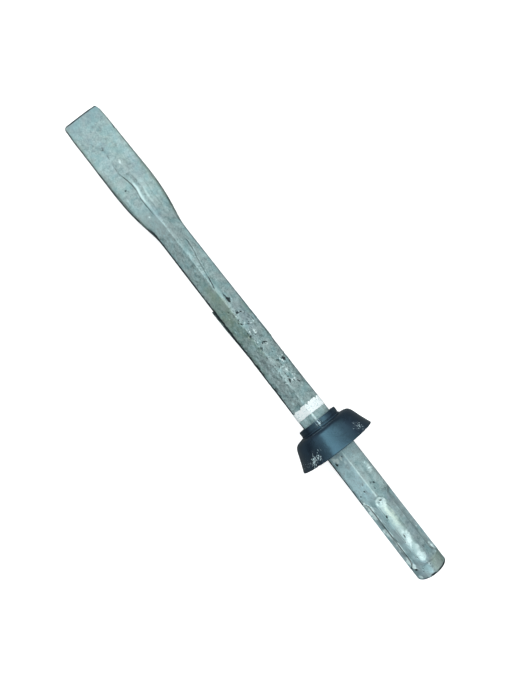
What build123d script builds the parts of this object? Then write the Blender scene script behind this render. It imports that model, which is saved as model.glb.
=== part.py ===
# Flat breaker chisel with a hexagonal shank, a push-on rubber dust cup and a ring of white marking tape.
#
# Frame: millimetres. The origin is the centre of the striking face. +X points out of the drive end along
# the shank, so the blade lies at -X. +Z is up with the tool lying on a bench, square to the blade's broad
# faces, and one corner of the hexagon points along +Z. +Y runs across the blade.
#
# Separate pieces:
#   chisel        one steel forging: blade, neck, hexagonal shank, six closed corner slots, turned drive end
#   dust_cup      one rubber moulding: collar, bell and inner hub on a hexagonal bore; it slides on the shank
#   marking_tape  one turn of white tape round the shank, with a short overlap on the underside

import math
import os

from build123d import *

os.makedirs("parts", exist_ok=True)

# ---------------------------------------------------------------- driving dimensions
overall_length = 420.0        # striking face to cutting edge
across_flats = 22.0           # hexagonal bar
corner_break = 0.8            # how far each hexagon corner is cut back along its two faces

# drive end
drive_end_radius = 11.0       # turned round end, the inscribed circle of the bar
drive_end_length = 8.0        # length of the turned end
drive_end_cone_length = 3.0   # cone from the turned end up to the bar's corners
striking_edge_radius = 1.1    # rounding round the striking face

# six closed slots, one on each corner of the hexagon
slot_cutter_radius = 4.9
slot_floor_radius = 9.2       # distance from the axis to the slot's floor
slot_start_x = -54.3          # centres of the ball-shaped slot ends
slot_end_x = -14.3

# neck and shank
neck_x = -284.0               # the bar is an untouched hexagon from here to the drive end

# raised marks left on the bar's two side flats by the forging grip
grip_step_x = -225.7          # sharp end of the mark on the -Y side
grip_fade_x = -186.8          # where it dies out, and the sharp end of the mark on the +Y side
grip_step_height = 1.25
grip_back_height = 0.45
grip_back_x = -241.0
grip_half_height = 4.9        # along Z

# marking tape
tape_x = -134.0               # edge nearest the blade
tape_width = 8.0
tape_thickness = 0.20
tape_overlap = 7.0            # length of the second layer on the underside

# rubber dust cup, measured along X from the collar's face
cup_x = -120.7                # collar's face
cup_bore_clearance = 0.10     # on each flat
cup_collar_radius = 15.1
cup_collar_length = 5.7
cup_groove_radius = 14.7
cup_shoulder_x = 9.5
cup_shoulder_radius = 23.4
cup_rim_x = 23.8
cup_rim_radius = 29.1
cup_wall = 2.3
cup_hub_radius = 15.4
cup_hub_length = 13.5

# ---------------------------------------------------------------- derived sizes
apothem = across_flats / 2
corner = across_flats / math.sqrt(3)
side_z = corner / 2
ridge_y = corner_break * math.cos(math.radians(30))
ridge_z = corner - corner_break * math.sin(math.radians(30))
edge_y = apothem - ridge_y
edge_z = side_z + corner_break * math.sin(math.radians(30))
flat_z = side_z - corner_break

# Forged end, from the untouched bar to the cutting edge. Each row is one cross-section:
# x, then one quarter of its outline as (y, z) from the top strip round to the side.
forged_sections = [
    (-284.0, (ridge_y, ridge_z), (edge_y, edge_z), (apothem, flat_z), (apothem, 3.0)),
    (-291.0, (ridge_y, ridge_z), (edge_y, edge_z), (apothem, flat_z), (apothem, 3.0)),
    (-297.5, (0.60, 12.36), (10.50, 6.60), (11.12, 5.65), (11.18, 2.9)),
    (-302.5, (0.95, 11.95), (10.50, 6.45), (11.60, 5.50), (11.98, 2.8)),
    (-307.5, (1.50, 10.95), (10.45, 6.30), (12.10, 5.35), (12.92, 2.7)),
    (-312.5, (1.95, 9.75), (10.40, 6.10), (12.65, 5.10), (13.88, 2.6)),
    (-318.0, (2.25, 8.65), (10.40, 5.90), (13.20, 4.85), (14.85, 2.4)),
    (-324.5, (2.35, 7.60), (10.45, 5.65), (13.75, 4.60), (15.72, 2.2)),
    (-332.0, (2.40, 6.75), (10.70, 5.35), (14.25, 4.35), (16.35, 2.0)),
    (-342.0, (2.40, 6.05), (11.40, 5.15), (14.75, 4.35), (16.72, 2.0)),
    (-356.0, (2.45, 5.38), (12.60, 4.78), (15.25, 4.15), (16.80, 2.0)),
    (-372.0, (2.50, 4.66), (13.70, 4.24), (15.65, 3.75), (16.70, 2.0)),
    (-388.0, (2.60, 4.00), (14.50, 3.76), (15.90, 3.40), (16.66, 1.9)),
    (-400.0, (2.80, 3.54), (14.95, 3.40), (16.05, 3.10), (16.68, 1.8)),
    (-407.5, (3.00, 3.26), (15.10, 3.16), (16.10, 2.90), (16.70, 1.7)),
    (-412.5, (3.10, 3.08), (15.10, 3.02), (16.05, 2.78), (16.58, 1.65)),
    # the cutting edge is worn blunt and rounded over; the tool lies on it and on the dust cup's rim
    (-418.6, (3.20, 2.84), (14.55, 2.82), (15.35, 2.60), (15.80, 1.50)),
    (-420.0, (3.20, 1.60), (14.30, 1.58), (15.20, 1.46), (15.62, 0.95)),
]


def full_outline(quarter):
    """The closed outline of a cross-section from its +Y, +Z quarter."""
    right_top = list(quarter)
    right_bottom = [(y, -z) for y, z in reversed(quarter)]
    left_bottom = [(-y, -z) for y, z in quarter]
    left_top = [(-y, z) for y, z in reversed(quarter)]
    return right_top + right_bottom + left_bottom + left_top


def bar_outline(half_width):
    """The closed outline of the hexagonal bar with broken corners, one corner along +Z."""
    half_corner = half_width * 2 / math.sqrt(3)
    along_y = corner_break * math.cos(math.radians(30))
    along_z = half_corner - corner_break * math.sin(math.radians(30))
    points = []
    for turn in range(6):
        angle = math.radians(60 * turn)
        for y in (along_y, -along_y):
            points.append(
                (
                    y * math.cos(angle) - along_z * math.sin(angle),
                    y * math.sin(angle) + along_z * math.cos(angle),
                )
            )
    return points


# ---------------------------------------------------------------- chisel
with BuildPart() as chisel:
    for x, *quarter in forged_sections:
        with BuildSketch(Plane.YZ.offset(x)):
            with BuildLine():
                Polyline(*full_outline(quarter), close=True)
            make_face()
    loft(ruled=True)

    # hexagonal bar
    with BuildSketch(Plane.YZ.offset(neck_x)):
        with BuildLine():
            Polyline(*bar_outline(apothem), close=True)
        make_face()
    extrude(amount=-neck_x)

    # grip marks on the two side flats
    with BuildSketch(Plane.XY):
        with BuildLine():
            Polyline(
                (grip_step_x, -apothem + 0.5),
                (grip_step_x, -apothem - grip_step_height),
                (grip_step_x + 16.0, -apothem - 0.8 * grip_step_height),
                (grip_fade_x, -apothem),
                (grip_fade_x, -apothem + 0.5),
                close=True,
            )
        make_face()
        with BuildLine():
            Polyline(
                (grip_back_x, apothem - 0.5),
                (grip_back_x, apothem),
                (grip_fade_x, apothem + grip_back_height),
                (grip_fade_x, apothem - 0.5),
                close=True,
            )
        make_face()
    extrude(amount=grip_half_height, both=True)

    # turned round drive end with a cone up to the corners
    cone_start_x = -drive_end_length - drive_end_cone_length
    with BuildSketch(Plane.XZ):
        with BuildLine():
            Polyline(
                (-overall_length - 10, 0),
                (-overall_length - 10, 30),
                (cone_start_x, 30),
                (cone_start_x, corner + 0.05),
                (-drive_end_length, drive_end_radius),
                (0, drive_end_radius),
                (0, 0),
                close=True,
            )
        face_outline = make_face()
        rim_vertex = face_outline.vertices().group_by(Axis.X)[-1].sort_by(Axis.Y)[-1]
        fillet(rim_vertex, radius=striking_edge_radius)
    revolve(axis=Axis.X, mode=Mode.INTERSECT)

    # six closed slots along the corners
    slot_axis_radius = slot_floor_radius + slot_cutter_radius
    with Locations(Plane.YZ.offset((slot_start_x + slot_end_x) / 2)):
        with PolarLocations(radius=slot_axis_radius, count=6, start_angle=90):
            Cylinder(
                radius=slot_cutter_radius,
                height=slot_end_x - slot_start_x,
                mode=Mode.SUBTRACT,
            )
    for x in (slot_start_x, slot_end_x):
        with Locations(Plane.YZ.offset(x)):
            with PolarLocations(radius=slot_axis_radius, count=6, start_angle=90):
                Sphere(radius=slot_cutter_radius, mode=Mode.SUBTRACT)

chisel.part.label = "chisel"
export_step(chisel.part, "parts/chisel.step")

# ---------------------------------------------------------------- dust cup
with BuildPart() as dust_cup:
    inner_slope = (cup_rim_radius - cup_shoulder_radius) / (cup_rim_x - cup_shoulder_x)
    with BuildSketch(Plane.XZ):
        with BuildLine():
            Polyline(
                (cup_x, 0),
                (cup_x, cup_collar_radius),
                (cup_x + cup_collar_length - 0.5, cup_collar_radius),
                (cup_x + cup_collar_length, cup_groove_radius),
                (cup_x + cup_collar_length + 0.3, cup_groove_radius + 1.6),
                (cup_x + cup_collar_length + 0.5, cup_shoulder_radius - 4.2),
                (cup_x + cup_collar_length + 1.2, cup_shoulder_radius - 2.1),
                (cup_x + cup_collar_length + 2.4, cup_shoulder_radius - 0.8),
                (cup_x + cup_shoulder_x, cup_shoulder_radius),
                (cup_x + cup_rim_x, cup_rim_radius),
                (cup_x + cup_rim_x, cup_rim_radius - cup_wall),
                (cup_x + cup_shoulder_x + 1.2, cup_shoulder_radius + 1.2 * inner_slope - cup_wall),
                (cup_x + cup_shoulder_x - 0.6, cup_shoulder_radius - cup_wall - 1.0),
                (cup_x + cup_collar_length + 3.2, cup_shoulder_radius - cup_wall - 3.4),
                (cup_x + cup_collar_length + 3.2, cup_hub_radius),
                (cup_x + cup_hub_length, cup_hub_radius),
                (cup_x + cup_hub_length, 0),
                close=True,
            )
        cup_outline = make_face()
        # soften the rim, the collar's edge and the hub's edge
        rim_corners = cup_outline.vertices().group_by(Axis.X)[-1]
        fillet(rim_corners, radius=0.7)
        collar_edge = cup_outline.vertices().group_by(Axis.X)[0].sort_by(Axis.Y)[-1]
        fillet(collar_edge, radius=0.6)
    revolve(axis=Axis.X)

    # hexagonal bore that stops the cup turning on the bar
    with BuildSketch(Plane.YZ.offset(cup_x - 1)):
        RegularPolygon(
            radius=apothem + cup_bore_clearance, side_count=6, major_radius=False, rotation=30
        )
    extrude(amount=cup_hub_length + 2, mode=Mode.SUBTRACT)

dust_cup.part.label = "dust_cup"
export_step(dust_cup.part, "parts/dust_cup.step")

# ---------------------------------------------------------------- marking tape
with BuildPart() as marking_tape:
    with BuildSketch(Plane.YZ.offset(tape_x)):
        with BuildLine():
            Polyline(*bar_outline(apothem + tape_thickness), close=True)
        make_face()
        with BuildLine():
            Polyline(*bar_outline(apothem), close=True)
        make_face(mode=Mode.SUBTRACT)
    extrude(amount=tape_width)

    # second layer where the end of the tape overlaps its start, on the lower -Y face
    with BuildSketch(Plane.YZ.offset(tape_x)):
        with Locations(Location((0, 0, 0), (0, 0, 240))):
            with Locations((apothem + 1.4 * tape_thickness, 0.8)):
                Rectangle(1.2 * tape_thickness, tape_overlap)
    extrude(amount=tape_width)

marking_tape.part.label = "marking_tape"
export_step(marking_tape.part, "parts/marking_tape.step")
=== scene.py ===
"""Flat breaker chisel with a rubber dust cup: the looks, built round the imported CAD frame.

Lengths in this script are in millimetres until they reach Blender, which gets metres.
+X runs out of the drive end, the blade is at -X, +Z is up and +Y runs across the blade.
"""

import math

import bpy
import numpy as np
from mathutils import Matrix, Vector
from mathutils.bvhtree import BVHTree


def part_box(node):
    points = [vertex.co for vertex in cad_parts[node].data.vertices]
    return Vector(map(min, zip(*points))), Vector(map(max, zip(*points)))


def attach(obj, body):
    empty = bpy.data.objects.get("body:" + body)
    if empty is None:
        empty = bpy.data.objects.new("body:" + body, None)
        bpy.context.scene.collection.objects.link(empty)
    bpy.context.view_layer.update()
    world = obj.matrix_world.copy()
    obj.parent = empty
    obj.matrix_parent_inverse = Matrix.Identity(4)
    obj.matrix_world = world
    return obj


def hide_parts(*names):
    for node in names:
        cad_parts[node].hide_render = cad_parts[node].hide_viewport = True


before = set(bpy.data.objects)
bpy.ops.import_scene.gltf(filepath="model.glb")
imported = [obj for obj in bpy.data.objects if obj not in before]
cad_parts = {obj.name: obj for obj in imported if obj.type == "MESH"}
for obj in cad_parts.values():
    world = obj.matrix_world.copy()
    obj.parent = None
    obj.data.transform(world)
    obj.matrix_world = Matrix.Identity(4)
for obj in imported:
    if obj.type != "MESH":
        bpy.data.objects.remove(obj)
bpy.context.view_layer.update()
MM = 0.001


# ------------------------------------------------------------------ small maths
def smooth(a, b, v):
    t = np.clip((np.asarray(v, float) - a) / (b - a), 0.0, 1.0)
    return t * t * (3 - 2 * t)


def hump(v, width):
    return np.exp(-((np.asarray(v, float) / width) ** 2))


def lattice(ix, iy, iz, seed):
    m = np.uint64(0xFFFFFFFF)
    h = (
        ix.astype(np.uint64) * np.uint64(374761393)
        + iy.astype(np.uint64) * np.uint64(668265263)
        + iz.astype(np.uint64) * np.uint64(2246822519)
        + np.uint64(seed * 3266489917 % 4294967296)
    ) & m
    h = ((h ^ (h >> np.uint64(15))) * np.uint64(2246822519)) & m
    h = ((h ^ (h >> np.uint64(13))) * np.uint64(3266489917)) & m
    h = h ^ (h >> np.uint64(16))
    return (h & np.uint64(0xFFFFFF)).astype(float) / float(0xFFFFFF) * 2 - 1


def noise(p, scale, seed):
    """Smooth value noise, -1 to 1, of points p (N, 3); scale is one length or three."""
    q = np.asarray(p, float) / np.asarray(scale, float) + 512.37 + 7.13 * (seed % 31)
    i = np.floor(q).astype(np.int64)
    f = q - i
    f = f * f * f * (f * (f * 6 - 15) + 10)
    out = 0.0
    for dx in (0, 1):
        wx = f[:, 0] if dx else 1 - f[:, 0]
        for dy in (0, 1):
            wy = f[:, 1] if dy else 1 - f[:, 1]
            for dz in (0, 1):
                wz = f[:, 2] if dz else 1 - f[:, 2]
                out = out + wx * wy * wz * lattice(i[:, 0] + dx, i[:, 1] + dy, i[:, 2] + dz, seed)
    return out


def fbm(p, scale, seed, octaves=4, gain=0.5):
    total, amount, norm = 0.0, 1.0, 0.0
    s = np.asarray(scale, float)
    for o in range(octaves):
        total = total + amount * noise(p, s, seed + 17 * o)
        norm += amount
        amount *= gain
        s = s / 2.03
    return total / norm


def along(points, x, y):
    """Signed distance from (x, y) to an open polyline, and the place along it from 0 to 1.
    Positive distance is on the left of the line's direction of travel."""
    pts = np.asarray(points, float)
    seg = np.diff(pts, axis=0)
    length = np.hypot(seg[:, 0], seg[:, 1])
    start = np.concatenate([[0], np.cumsum(length)])
    best = np.full(len(x), 1e9)
    sign = np.zeros(len(x))
    place = np.zeros(len(x))
    for k in range(len(seg)):
        rx, ry = x - pts[k, 0], y - pts[k, 1]
        t = np.clip((rx * seg[k, 0] + ry * seg[k, 1]) / (length[k] ** 2), 0, 1)
        dx, dy = rx - t * seg[k, 0], ry - t * seg[k, 1]
        d = np.hypot(dx, dy)
        near = d < best
        best = np.where(near, d, best)
        sign = np.where(near, np.sign(seg[k, 0] * ry - seg[k, 1] * rx), sign)
        place = np.where(near, (start[k] + t * length[k]) / start[-1], place)
    return best * np.where(sign == 0, 1, sign), place


def refine(points, steps=4):
    """Catmull-Rom curve through the points."""
    p = np.asarray(points, float)
    p = np.vstack([2 * p[0] - p[1], p, 2 * p[-1] - p[-2]])
    out = []
    for k in range(1, len(p) - 2):
        for s in range(steps):
            t = s / steps
            out.append(
                0.5
                * (
                    2 * p[k]
                    + (p[k + 1] - p[k - 1]) * t
                    + (2 * p[k - 1] - 5 * p[k] + 4 * p[k + 1] - p[k + 2]) * t**2
                    + (3 * p[k] - p[k - 1] - 3 * p[k + 1] + p[k + 2]) * t**3
                )
            )
    out.append(p[-2])
    return np.array(out)


def new_mesh(name, points_mm, faces, attributes=None):
    mesh = bpy.data.meshes.new(name)
    mesh.from_pydata((np.asarray(points_mm) * MM).tolist(), [], faces)
    mesh.validate(verbose=False)
    mesh.polygons.foreach_set("use_smooth", [True] * len(mesh.polygons))
    for key, values in (attributes or {}).items():
        layer = mesh.attributes.new(key, "FLOAT", "POINT")
        layer.data.foreach_set("value", np.asarray(values, np.float32))
    mesh.update()
    obj = bpy.data.objects.new(name, mesh)
    bpy.context.scene.collection.objects.link(obj)
    return obj


def grid_faces(rings, columns, first=0, close_rings=False):
    """Quads of a tube: rings along it, columns round it."""
    faces = []
    for i in range(rings if close_rings else rings - 1):
        a0, b0 = first + i * columns, first + ((i + 1) % rings) * columns
        for j in range(columns):
            k = (j + 1) % columns
            faces.append((a0 + j, a0 + k, b0 + k, b0 + j))
    return faces


# ------------------------------------------------------------------ chisel: base surface from the CAD node
# Corner lines of the forged sections, used only to lay the grid along the creases: x, then one quarter (y, z).
CORNERS = np.array(
    [
        (0.0, 0.693, 12.302, 10.307, 6.751, 11.0, 5.551, 11.0, 3.0),
        (-291.0, 0.693, 12.302, 10.307, 6.751, 11.0, 5.551, 11.0, 3.0),
        (-297.5, 0.60, 12.36, 10.50, 6.60, 11.12, 5.65, 11.18, 2.9),
        (-302.5, 0.95, 11.95, 10.50, 6.45, 11.60, 5.50, 11.98, 2.8),
        (-307.5, 1.50, 10.95, 10.45, 6.30, 12.10, 5.35, 12.92, 2.7),
        (-312.5, 1.95, 9.75, 10.40, 6.10, 12.65, 5.10, 13.88, 2.6),
        (-318.0, 2.25, 8.65, 10.40, 5.90, 13.20, 4.85, 14.85, 2.4),
        (-324.5, 2.35, 7.60, 10.45, 5.65, 13.75, 4.60, 15.72, 2.2),
        (-332.0, 2.40, 6.75, 10.70, 5.35, 14.25, 4.35, 16.35, 2.0),
        (-342.0, 2.40, 6.05, 11.40, 5.15, 14.75, 4.35, 16.72, 2.0),
        (-356.0, 2.45, 5.38, 12.60, 4.78, 15.25, 4.15, 16.80, 2.0),
        (-372.0, 2.50, 4.66, 13.70, 4.24, 15.65, 3.75, 16.70, 2.0),
        (-388.0, 2.60, 4.00, 14.50, 3.76, 15.90, 3.40, 16.66, 1.9),
        (-400.0, 2.80, 3.54, 14.95, 3.40, 16.05, 3.10, 16.68, 1.8),
        (-407.5, 3.00, 3.26, 15.10, 3.16, 16.10, 2.90, 16.70, 1.7),
        (-412.5, 3.10, 3.08, 15.10, 3.02, 16.05, 2.78, 16.58, 1.65),
        (-418.6, 3.20, 2.84, 14.55, 2.82, 15.35, 2.60, 15.80, 1.50),
        (-420.0, 3.20, 1.60, 14.30, 1.58, 15.20, 1.46, 15.62, 0.95),
    ]
)[::-1]
COLUMNS_PER_SPAN = [40, 6, 9, 18, 9, 6, 40, 8, 40, 6, 9, 18, 9, 6, 40, 8]
COLUMNS = sum(COLUMNS_PER_SPAN)


def directions(x):
    """For each ring x (N,), a point (y, z) near the surface for each column: (N, COLUMNS, 2)."""
    q = np.stack([np.interp(x, CORNERS[:, 0], CORNERS[:, k]) for k in range(1, 9)], 1).reshape(-1, 4, 2)
    flip_z, flip_y = np.array([1, -1]), np.array([-1, 1])
    outline = np.concatenate([q, (q * flip_z)[:, ::-1], q * -1, (q * flip_y)[:, ::-1]], 1)
    spans = []
    for k, n in enumerate(COLUMNS_PER_SPAN):
        a, b = outline[:, k], outline[:, (k + 1) % 16]
        t = (np.arange(n) / n)[None, :, None]
        spans.append(a[:, None] * (1 - t) + b[:, None] * t)
    return np.concatenate(spans, 1)


cad_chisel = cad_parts["chisel"]
x_low, x_high = (c.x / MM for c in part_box("chisel"))
cad_verts = [v.co / MM for v in cad_chisel.data.vertices]
cad_polys = [tuple(p.vertices) for p in cad_chisel.data.polygons]
tree = BVHTree.FromPolygons(cad_verts, cad_polys, all_triangles=False)


def steps(a, b, step):
    n = max(1, int(round((b - a) / step)))
    return list(np.linspace(a, b, n, endpoint=False))


ring_x = np.array(
    steps(x_low + 0.20, x_low + 2.4, 0.14)
    + steps(x_low + 2.4, x_low + 10.0, 0.3)
    + steps(x_low + 10.0, -284.0, 0.5)
    + steps(-284.0, -225.78, 0.42)
    + [-225.78, -225.64]
    + steps(-225.5, -186.9, 0.38)
    + [-186.86, -186.72]
    + steps(-186.5, -140.0, 0.38)
    + steps(-140.0, -60.5, 0.45)
    + steps(-60.5, -50.0, 0.25)
    + steps(-50.0, -19.0, 0.45)
    + steps(-19.0, -8.0, 0.22)
    + steps(-8.0, -1.7, 0.3)
    + steps(-1.7, -0.2, 0.12)
    + [-0.2, -0.12, -0.06, -0.02]
)
RINGS = len(ring_x)
aim = directions(ring_x)
surface = np.zeros((RINGS, COLUMNS, 2))
for i, x in enumerate(ring_x):
    start = Vector((x, 0.0, 0.0))
    for j in range(COLUMNS):
        y, z = aim[i, j]
        hit = tree.ray_cast(start, Vector((0.0, y, z)))[0]
        surface[i, j] = (hit.y, hit.z) if hit is not None else (y, z)

# The forged end is drawn out smoothly: ease the section lines along X between the bar and the bevel.
forged = np.nonzero(ring_x < -284.0)[0]
fx = ring_x[forged]
weights = np.zeros((len(forged), len(forged)))
spacing = np.gradient(fx)
for i, x in enumerate(fx):
    reach = max(0.2, min(5.0, 0.45 * (x - x_low), 0.6 * (-284.0 - x)))
    weights[i] = np.exp(-0.5 * ((fx - x) / reach) ** 2) * spacing
    weights[i] /= weights[i].sum()
surface[forged] = np.einsum("ij,jkl->ikl", weights, surface[forged])

X = np.repeat(ring_x[:, None], COLUMNS, 1)
Y, Z = surface[..., 0].copy(), surface[..., 1].copy()

# worn corners of the cutting edge: a straight slope on +Y, a rounder corner on -Y, and an edge a little out of square
d = ring_x - x_low
cad_half = np.minimum(16.58, 15.62 + 0.96 / 7.5 * d)
half_plus = np.where(d < 6.4, 16.6 - 1.55 * (1 - d / 6.4), 16.6)
half_minus = np.where(d < 4.2, 16.55 - 2.7 * (1 - np.sqrt(np.clip(1 - (1 - d / 4.2) ** 2, 0, 1))), 16.55)
fade = 1 - smooth(7.0, 11.0, d)
plus = 1 + (half_plus / cad_half - 1) * fade
minus = 1 + (half_minus / cad_half - 1) * fade
Y = np.where(Y > 0, Y * plus[:, None], Y * minus[:, None])
X = X + (0.75 * (Y + 15.0) / 30.0).clip(0) * (1 - smooth(0.0, 10.0, d))[:, None]
X = X + 0.75 * (1 - smooth(0.0, 14.0, d))[:, None]
# the forging is a hair out of line: both ends lean towards -Y
lean_plus = np.interp(d, [0, 2.5, 19, 35, 52, 68, 95], [1.0, 1.0, 0.66, 0.52, 0.40, 0.26, 0.0])
lean_minus = np.interp(d, [0, 2.5, 19, 35, 52, 68, 95], [0.12, 0.15, 0.36, 0.20, 0.24, 0.10, 0.0])
bow = 0.32 * smooth(-82.0, -20.0, ring_x)
share = np.clip(Y / 12.0, -1, 1) * 0.5 + 0.5
Y = Y - (lean_plus[:, None] * share + lean_minus[:, None] * (1 - share)) - bow[:, None]

base = np.stack([X, Y, Z], -1)
du = np.roll(base, -1, 1) - np.roll(base, 1, 1)
dv = np.gradient(base, axis=0)
normal = np.cross(dv, du)
normal /= np.maximum(np.linalg.norm(normal, axis=-1, keepdims=True), 1e-9)
outward = np.sign((normal[..., 1:] * base[..., 1:]).sum(-1).mean())
normal *= outward

# ------------------------------------------------------------------ chisel: forging marks, wear and dirt
P = base.reshape(-1, 3)
px, py, pz = P[:, 0], P[:, 1], P[:, 2]
top = smooth(-0.2, 0.6, pz)
is_blade = 1 - smooth(-312.0, -292.0, px)
is_bar = 1 - is_blade
battered = smooth(-231.0, -215.0, px) * (1 - smooth(-152.0, -136.0, px))
cup_zone = smooth(-137.0, -134.5, px)
raise_by = np.zeros(len(P))
tone = np.zeros(len(P))
dark = np.zeros(len(P))
pale = np.zeros(len(P))
warm = np.zeros(len(P))
rub = np.zeros(len(P))
frost = np.zeros(len(P))

# uneven hammered surface
raise_by += is_blade * 0.17 * fbm(P, (22.0, 11.0, 11.0), 11, 3)
raise_by += is_bar * 0.05 * fbm(P, (26.0, 9.0, 9.0), 12, 3)
raise_by += (0.035 + 0.03 * is_blade + 0.05 * battered) * fbm(P, 3.2, 13, 3)
raise_by += (0.010 + 0.016 * battered) * noise(P, 0.9, 14)

# folds left on the blade where the bar was spread, with painted shade along each fold's shaded front and painted
# highlight on its lit side
lower_fold = refine(
    [(-396.0, -2.4), (-392.8, -2.33), (-384.7, -2.19), (-378.8, -1.9), (-374.4, -2.6), (-370.0, -3.43), (-365.7, -4.4),
     (-361.3, -4.6), (-356.3, -4.0), (-352.0, -2.85), (-348.5, -2.14), (-344.9, -1.51), (-342.1, -1.12), (-338.5, -0.95),
     (-335.0, -1.15), (-331.5, -1.81), (-327.9, -2.24), (-324.3, -2.35), (-317.0, -2.09), (-309.5, -1.95), (-303.0, -1.6)], 3
)
upper_fold = refine(
    [(-364.0, -0.1), (-357.0, 0.99), (-352.0, 1.9), (-349.2, 2.75), (-345.6, 3.29), (-342.1, 3.47), (-338.5, 3.52),
     (-335.0, 3.27), (-331.5, 2.95), (-327.9, 2.51), (-322.8, 2.25), (-317.0, 2.61), (-312.5, 3.09), (-306.0, 3.3)], 3
)
near = (px < -296) & (pz > 0)
for side in (1, -1):  # the underside gets its own pair, mirrored and a little shifted
    near = (px < -290) & (pz * side > 0)
    qx = px[near] + (0 if side > 0 else -7.0)
    qy = py[near] if side > 0 else -py[near] * 0.9 + 1.2
    s1, t1 = along(lower_fold, qx, qy)
    s2, t2 = along(upper_fold, qx, qy)
    a1 = (0.25 + 0.75 * smooth(-360, -348, qx)) * smooth(-396, -384, qx) * (1 - smooth(-316, -303, qx))
    a2 = smooth(-363, -347, qx) * (1 - smooth(-322, -307, qx))
    if side < 0:
        a1, a2 = a1 * 0.7, a2 * 0.8
    broken = 0.75 + 0.45 * noise(np.stack([qx, qy * 0, qy * 0], 1), (7.0, 1, 1), 18)
    strip = smooth(-0.5, 0.7, s1) * np.exp(-((np.maximum(s1, 0) / 2.6) ** 2))
    peak = 0.35 + 0.65 * smooth(-366, -347, qx) * (1 - smooth(-330, -312, qx))
    add = a1 * (0.50 * strip - 0.16 * hump(s1 + 0.5, 0.6)) * (0.55 + 0.45 * peak)
    add += a2 * (0.26 * hump(s2 - 1.7, 1.3) - 0.22 * hump(s2, 0.6) + 0.08 * hump(s2 + 1.3, 1.0))
    raise_by[near] += add
    # painted shade along the fold lines
    dark[near] += a1 * (0.40 + 0.60 * peak) * broken * 0.82 * hump(s1 + 0.3, 0.46)
    dark[near] += a2 * broken * 0.46 * hump(s2, 0.50)
    # painted highlight on the lit strips beside the folds
    rub[near] += a1 * 1.1 * hump(s1 - 1.1, 0.95) * smooth(-347, -339, qx) * (1 - smooth(-327, -318, qx))
    pale[near] += a1 * 0.5 * hump(s1 - 1.0, 0.75) * smooth(-344, -338, qx) * (1 - smooth(-332, -324, qx))
    rub[near] += 0.22 * hump(s1 + 1.9, 0.9) * (1 - smooth(-362, -350, qx)) * smooth(-378, -368, qx)
    rub[near] += 0.55 * a2 * hump(s2 - 1.3, 0.9) * hump(qx + 327, 11)
    # the lit sides of the folds painted lighter and the shaded sides painted darker
    tone[near] += 0.5 * a1 * hump(s1 - 1.6, 1.4) * smooth(-350, -338, qx) * (1 - smooth(-326, -314, qx))
    tone[near] += 0.48 * a2 * hump(s2 - 2.0, 1.3) - 0.30 * a1 * hump(s1 + 1.4, 1.1)
    tone[near] -= 0.42 * a2 * hump(s2 + 1.1, 0.8)

# a faint third fold near the +Y edge, with painted shade in it and a painted highlight beside it, and a streak of
# painted highlight near the -Y edge
third = refine([(-342.0, 8.6), (-335.0, 8.1), (-328.0, 7.7), (-320.0, 7.8), (-312.0, 8.2)], 3)
near = (px < -296) & (pz > 0)
s, t = along(third, px[near], py[near])
ends = smooth(0.0, 0.2, t) * (1 - smooth(0.8, 1.0, t))
raise_by[near] += ends * (-0.12 * hump(s, 0.6) + 0.08 * hump(s + 1.3, 0.9))
dark[near] += 0.34 * ends * hump(s, 0.55)
tone[near] += 0.40 * ends * hump(s + 1.5, 0.9)
highlight_streak = refine([(-337.0, -11.0), (-331.0, -10.9), (-324.0, -10.4)], 3)
s, t = along(highlight_streak, px[near], py[near])
ends = smooth(0.0, 0.2, t) * (1 - smooth(0.8, 1.0, t))
rub[near] += 0.5 * ends * hump(s, 0.55)
tone[near] += 0.3 * ends * hump(s, 0.9)

# lap crack running from the +Y face to the ridge, and one on the underside
lap = refine(
    [(-281.8, 6.0), (-277.7, 6.04), (-271.3, 5.6), (-267.4, 5.11), (-264.7, 4.3), (-261.4, 3.78), (-258.2, 3.3),
     (-254.4, 2.82), (-250.5, 2.1), (-246.7, 1.63), (-243.0, 1.21), (-239.8, 0.63), (-236.6, -0.2), (-233.6, -0.7)], 3
)
for side in (1, -1):
    near = (px > -290) & (px < -225) & (pz * side > 0)
    qx = px[near] if side > 0 else px[near] + 16.0
    qy = py[near] if side > 0 else -py[near] + 1.5
    s, t = along(lap, qx, qy)
    ends = smooth(0.0, 0.08, t) * (1 - smooth(0.93, 1.0, t)) * (1 if side > 0 else 0.7)
    broken = 0.78 + 0.45 * noise(np.stack([qx, qx * 0, qx * 0], 1), (3.5, 1, 1), 19)
    raise_by[near] += ends * (-0.34 * hump(s, 0.42) + 0.12 * hump(s + 0.9, 0.6))
    dark[near] += ends * broken * (0.60 + 0.26 * smooth(0.45, 0.75, t)) * hump(s, 0.46)
    # painted highlight on one lip of the lap and painted shade on its other side
    tone[near] += 0.22 * ends * hump(s + 1.0, 0.7) - 0.18 * ends * hump(s - 0.9, 0.8)

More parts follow.
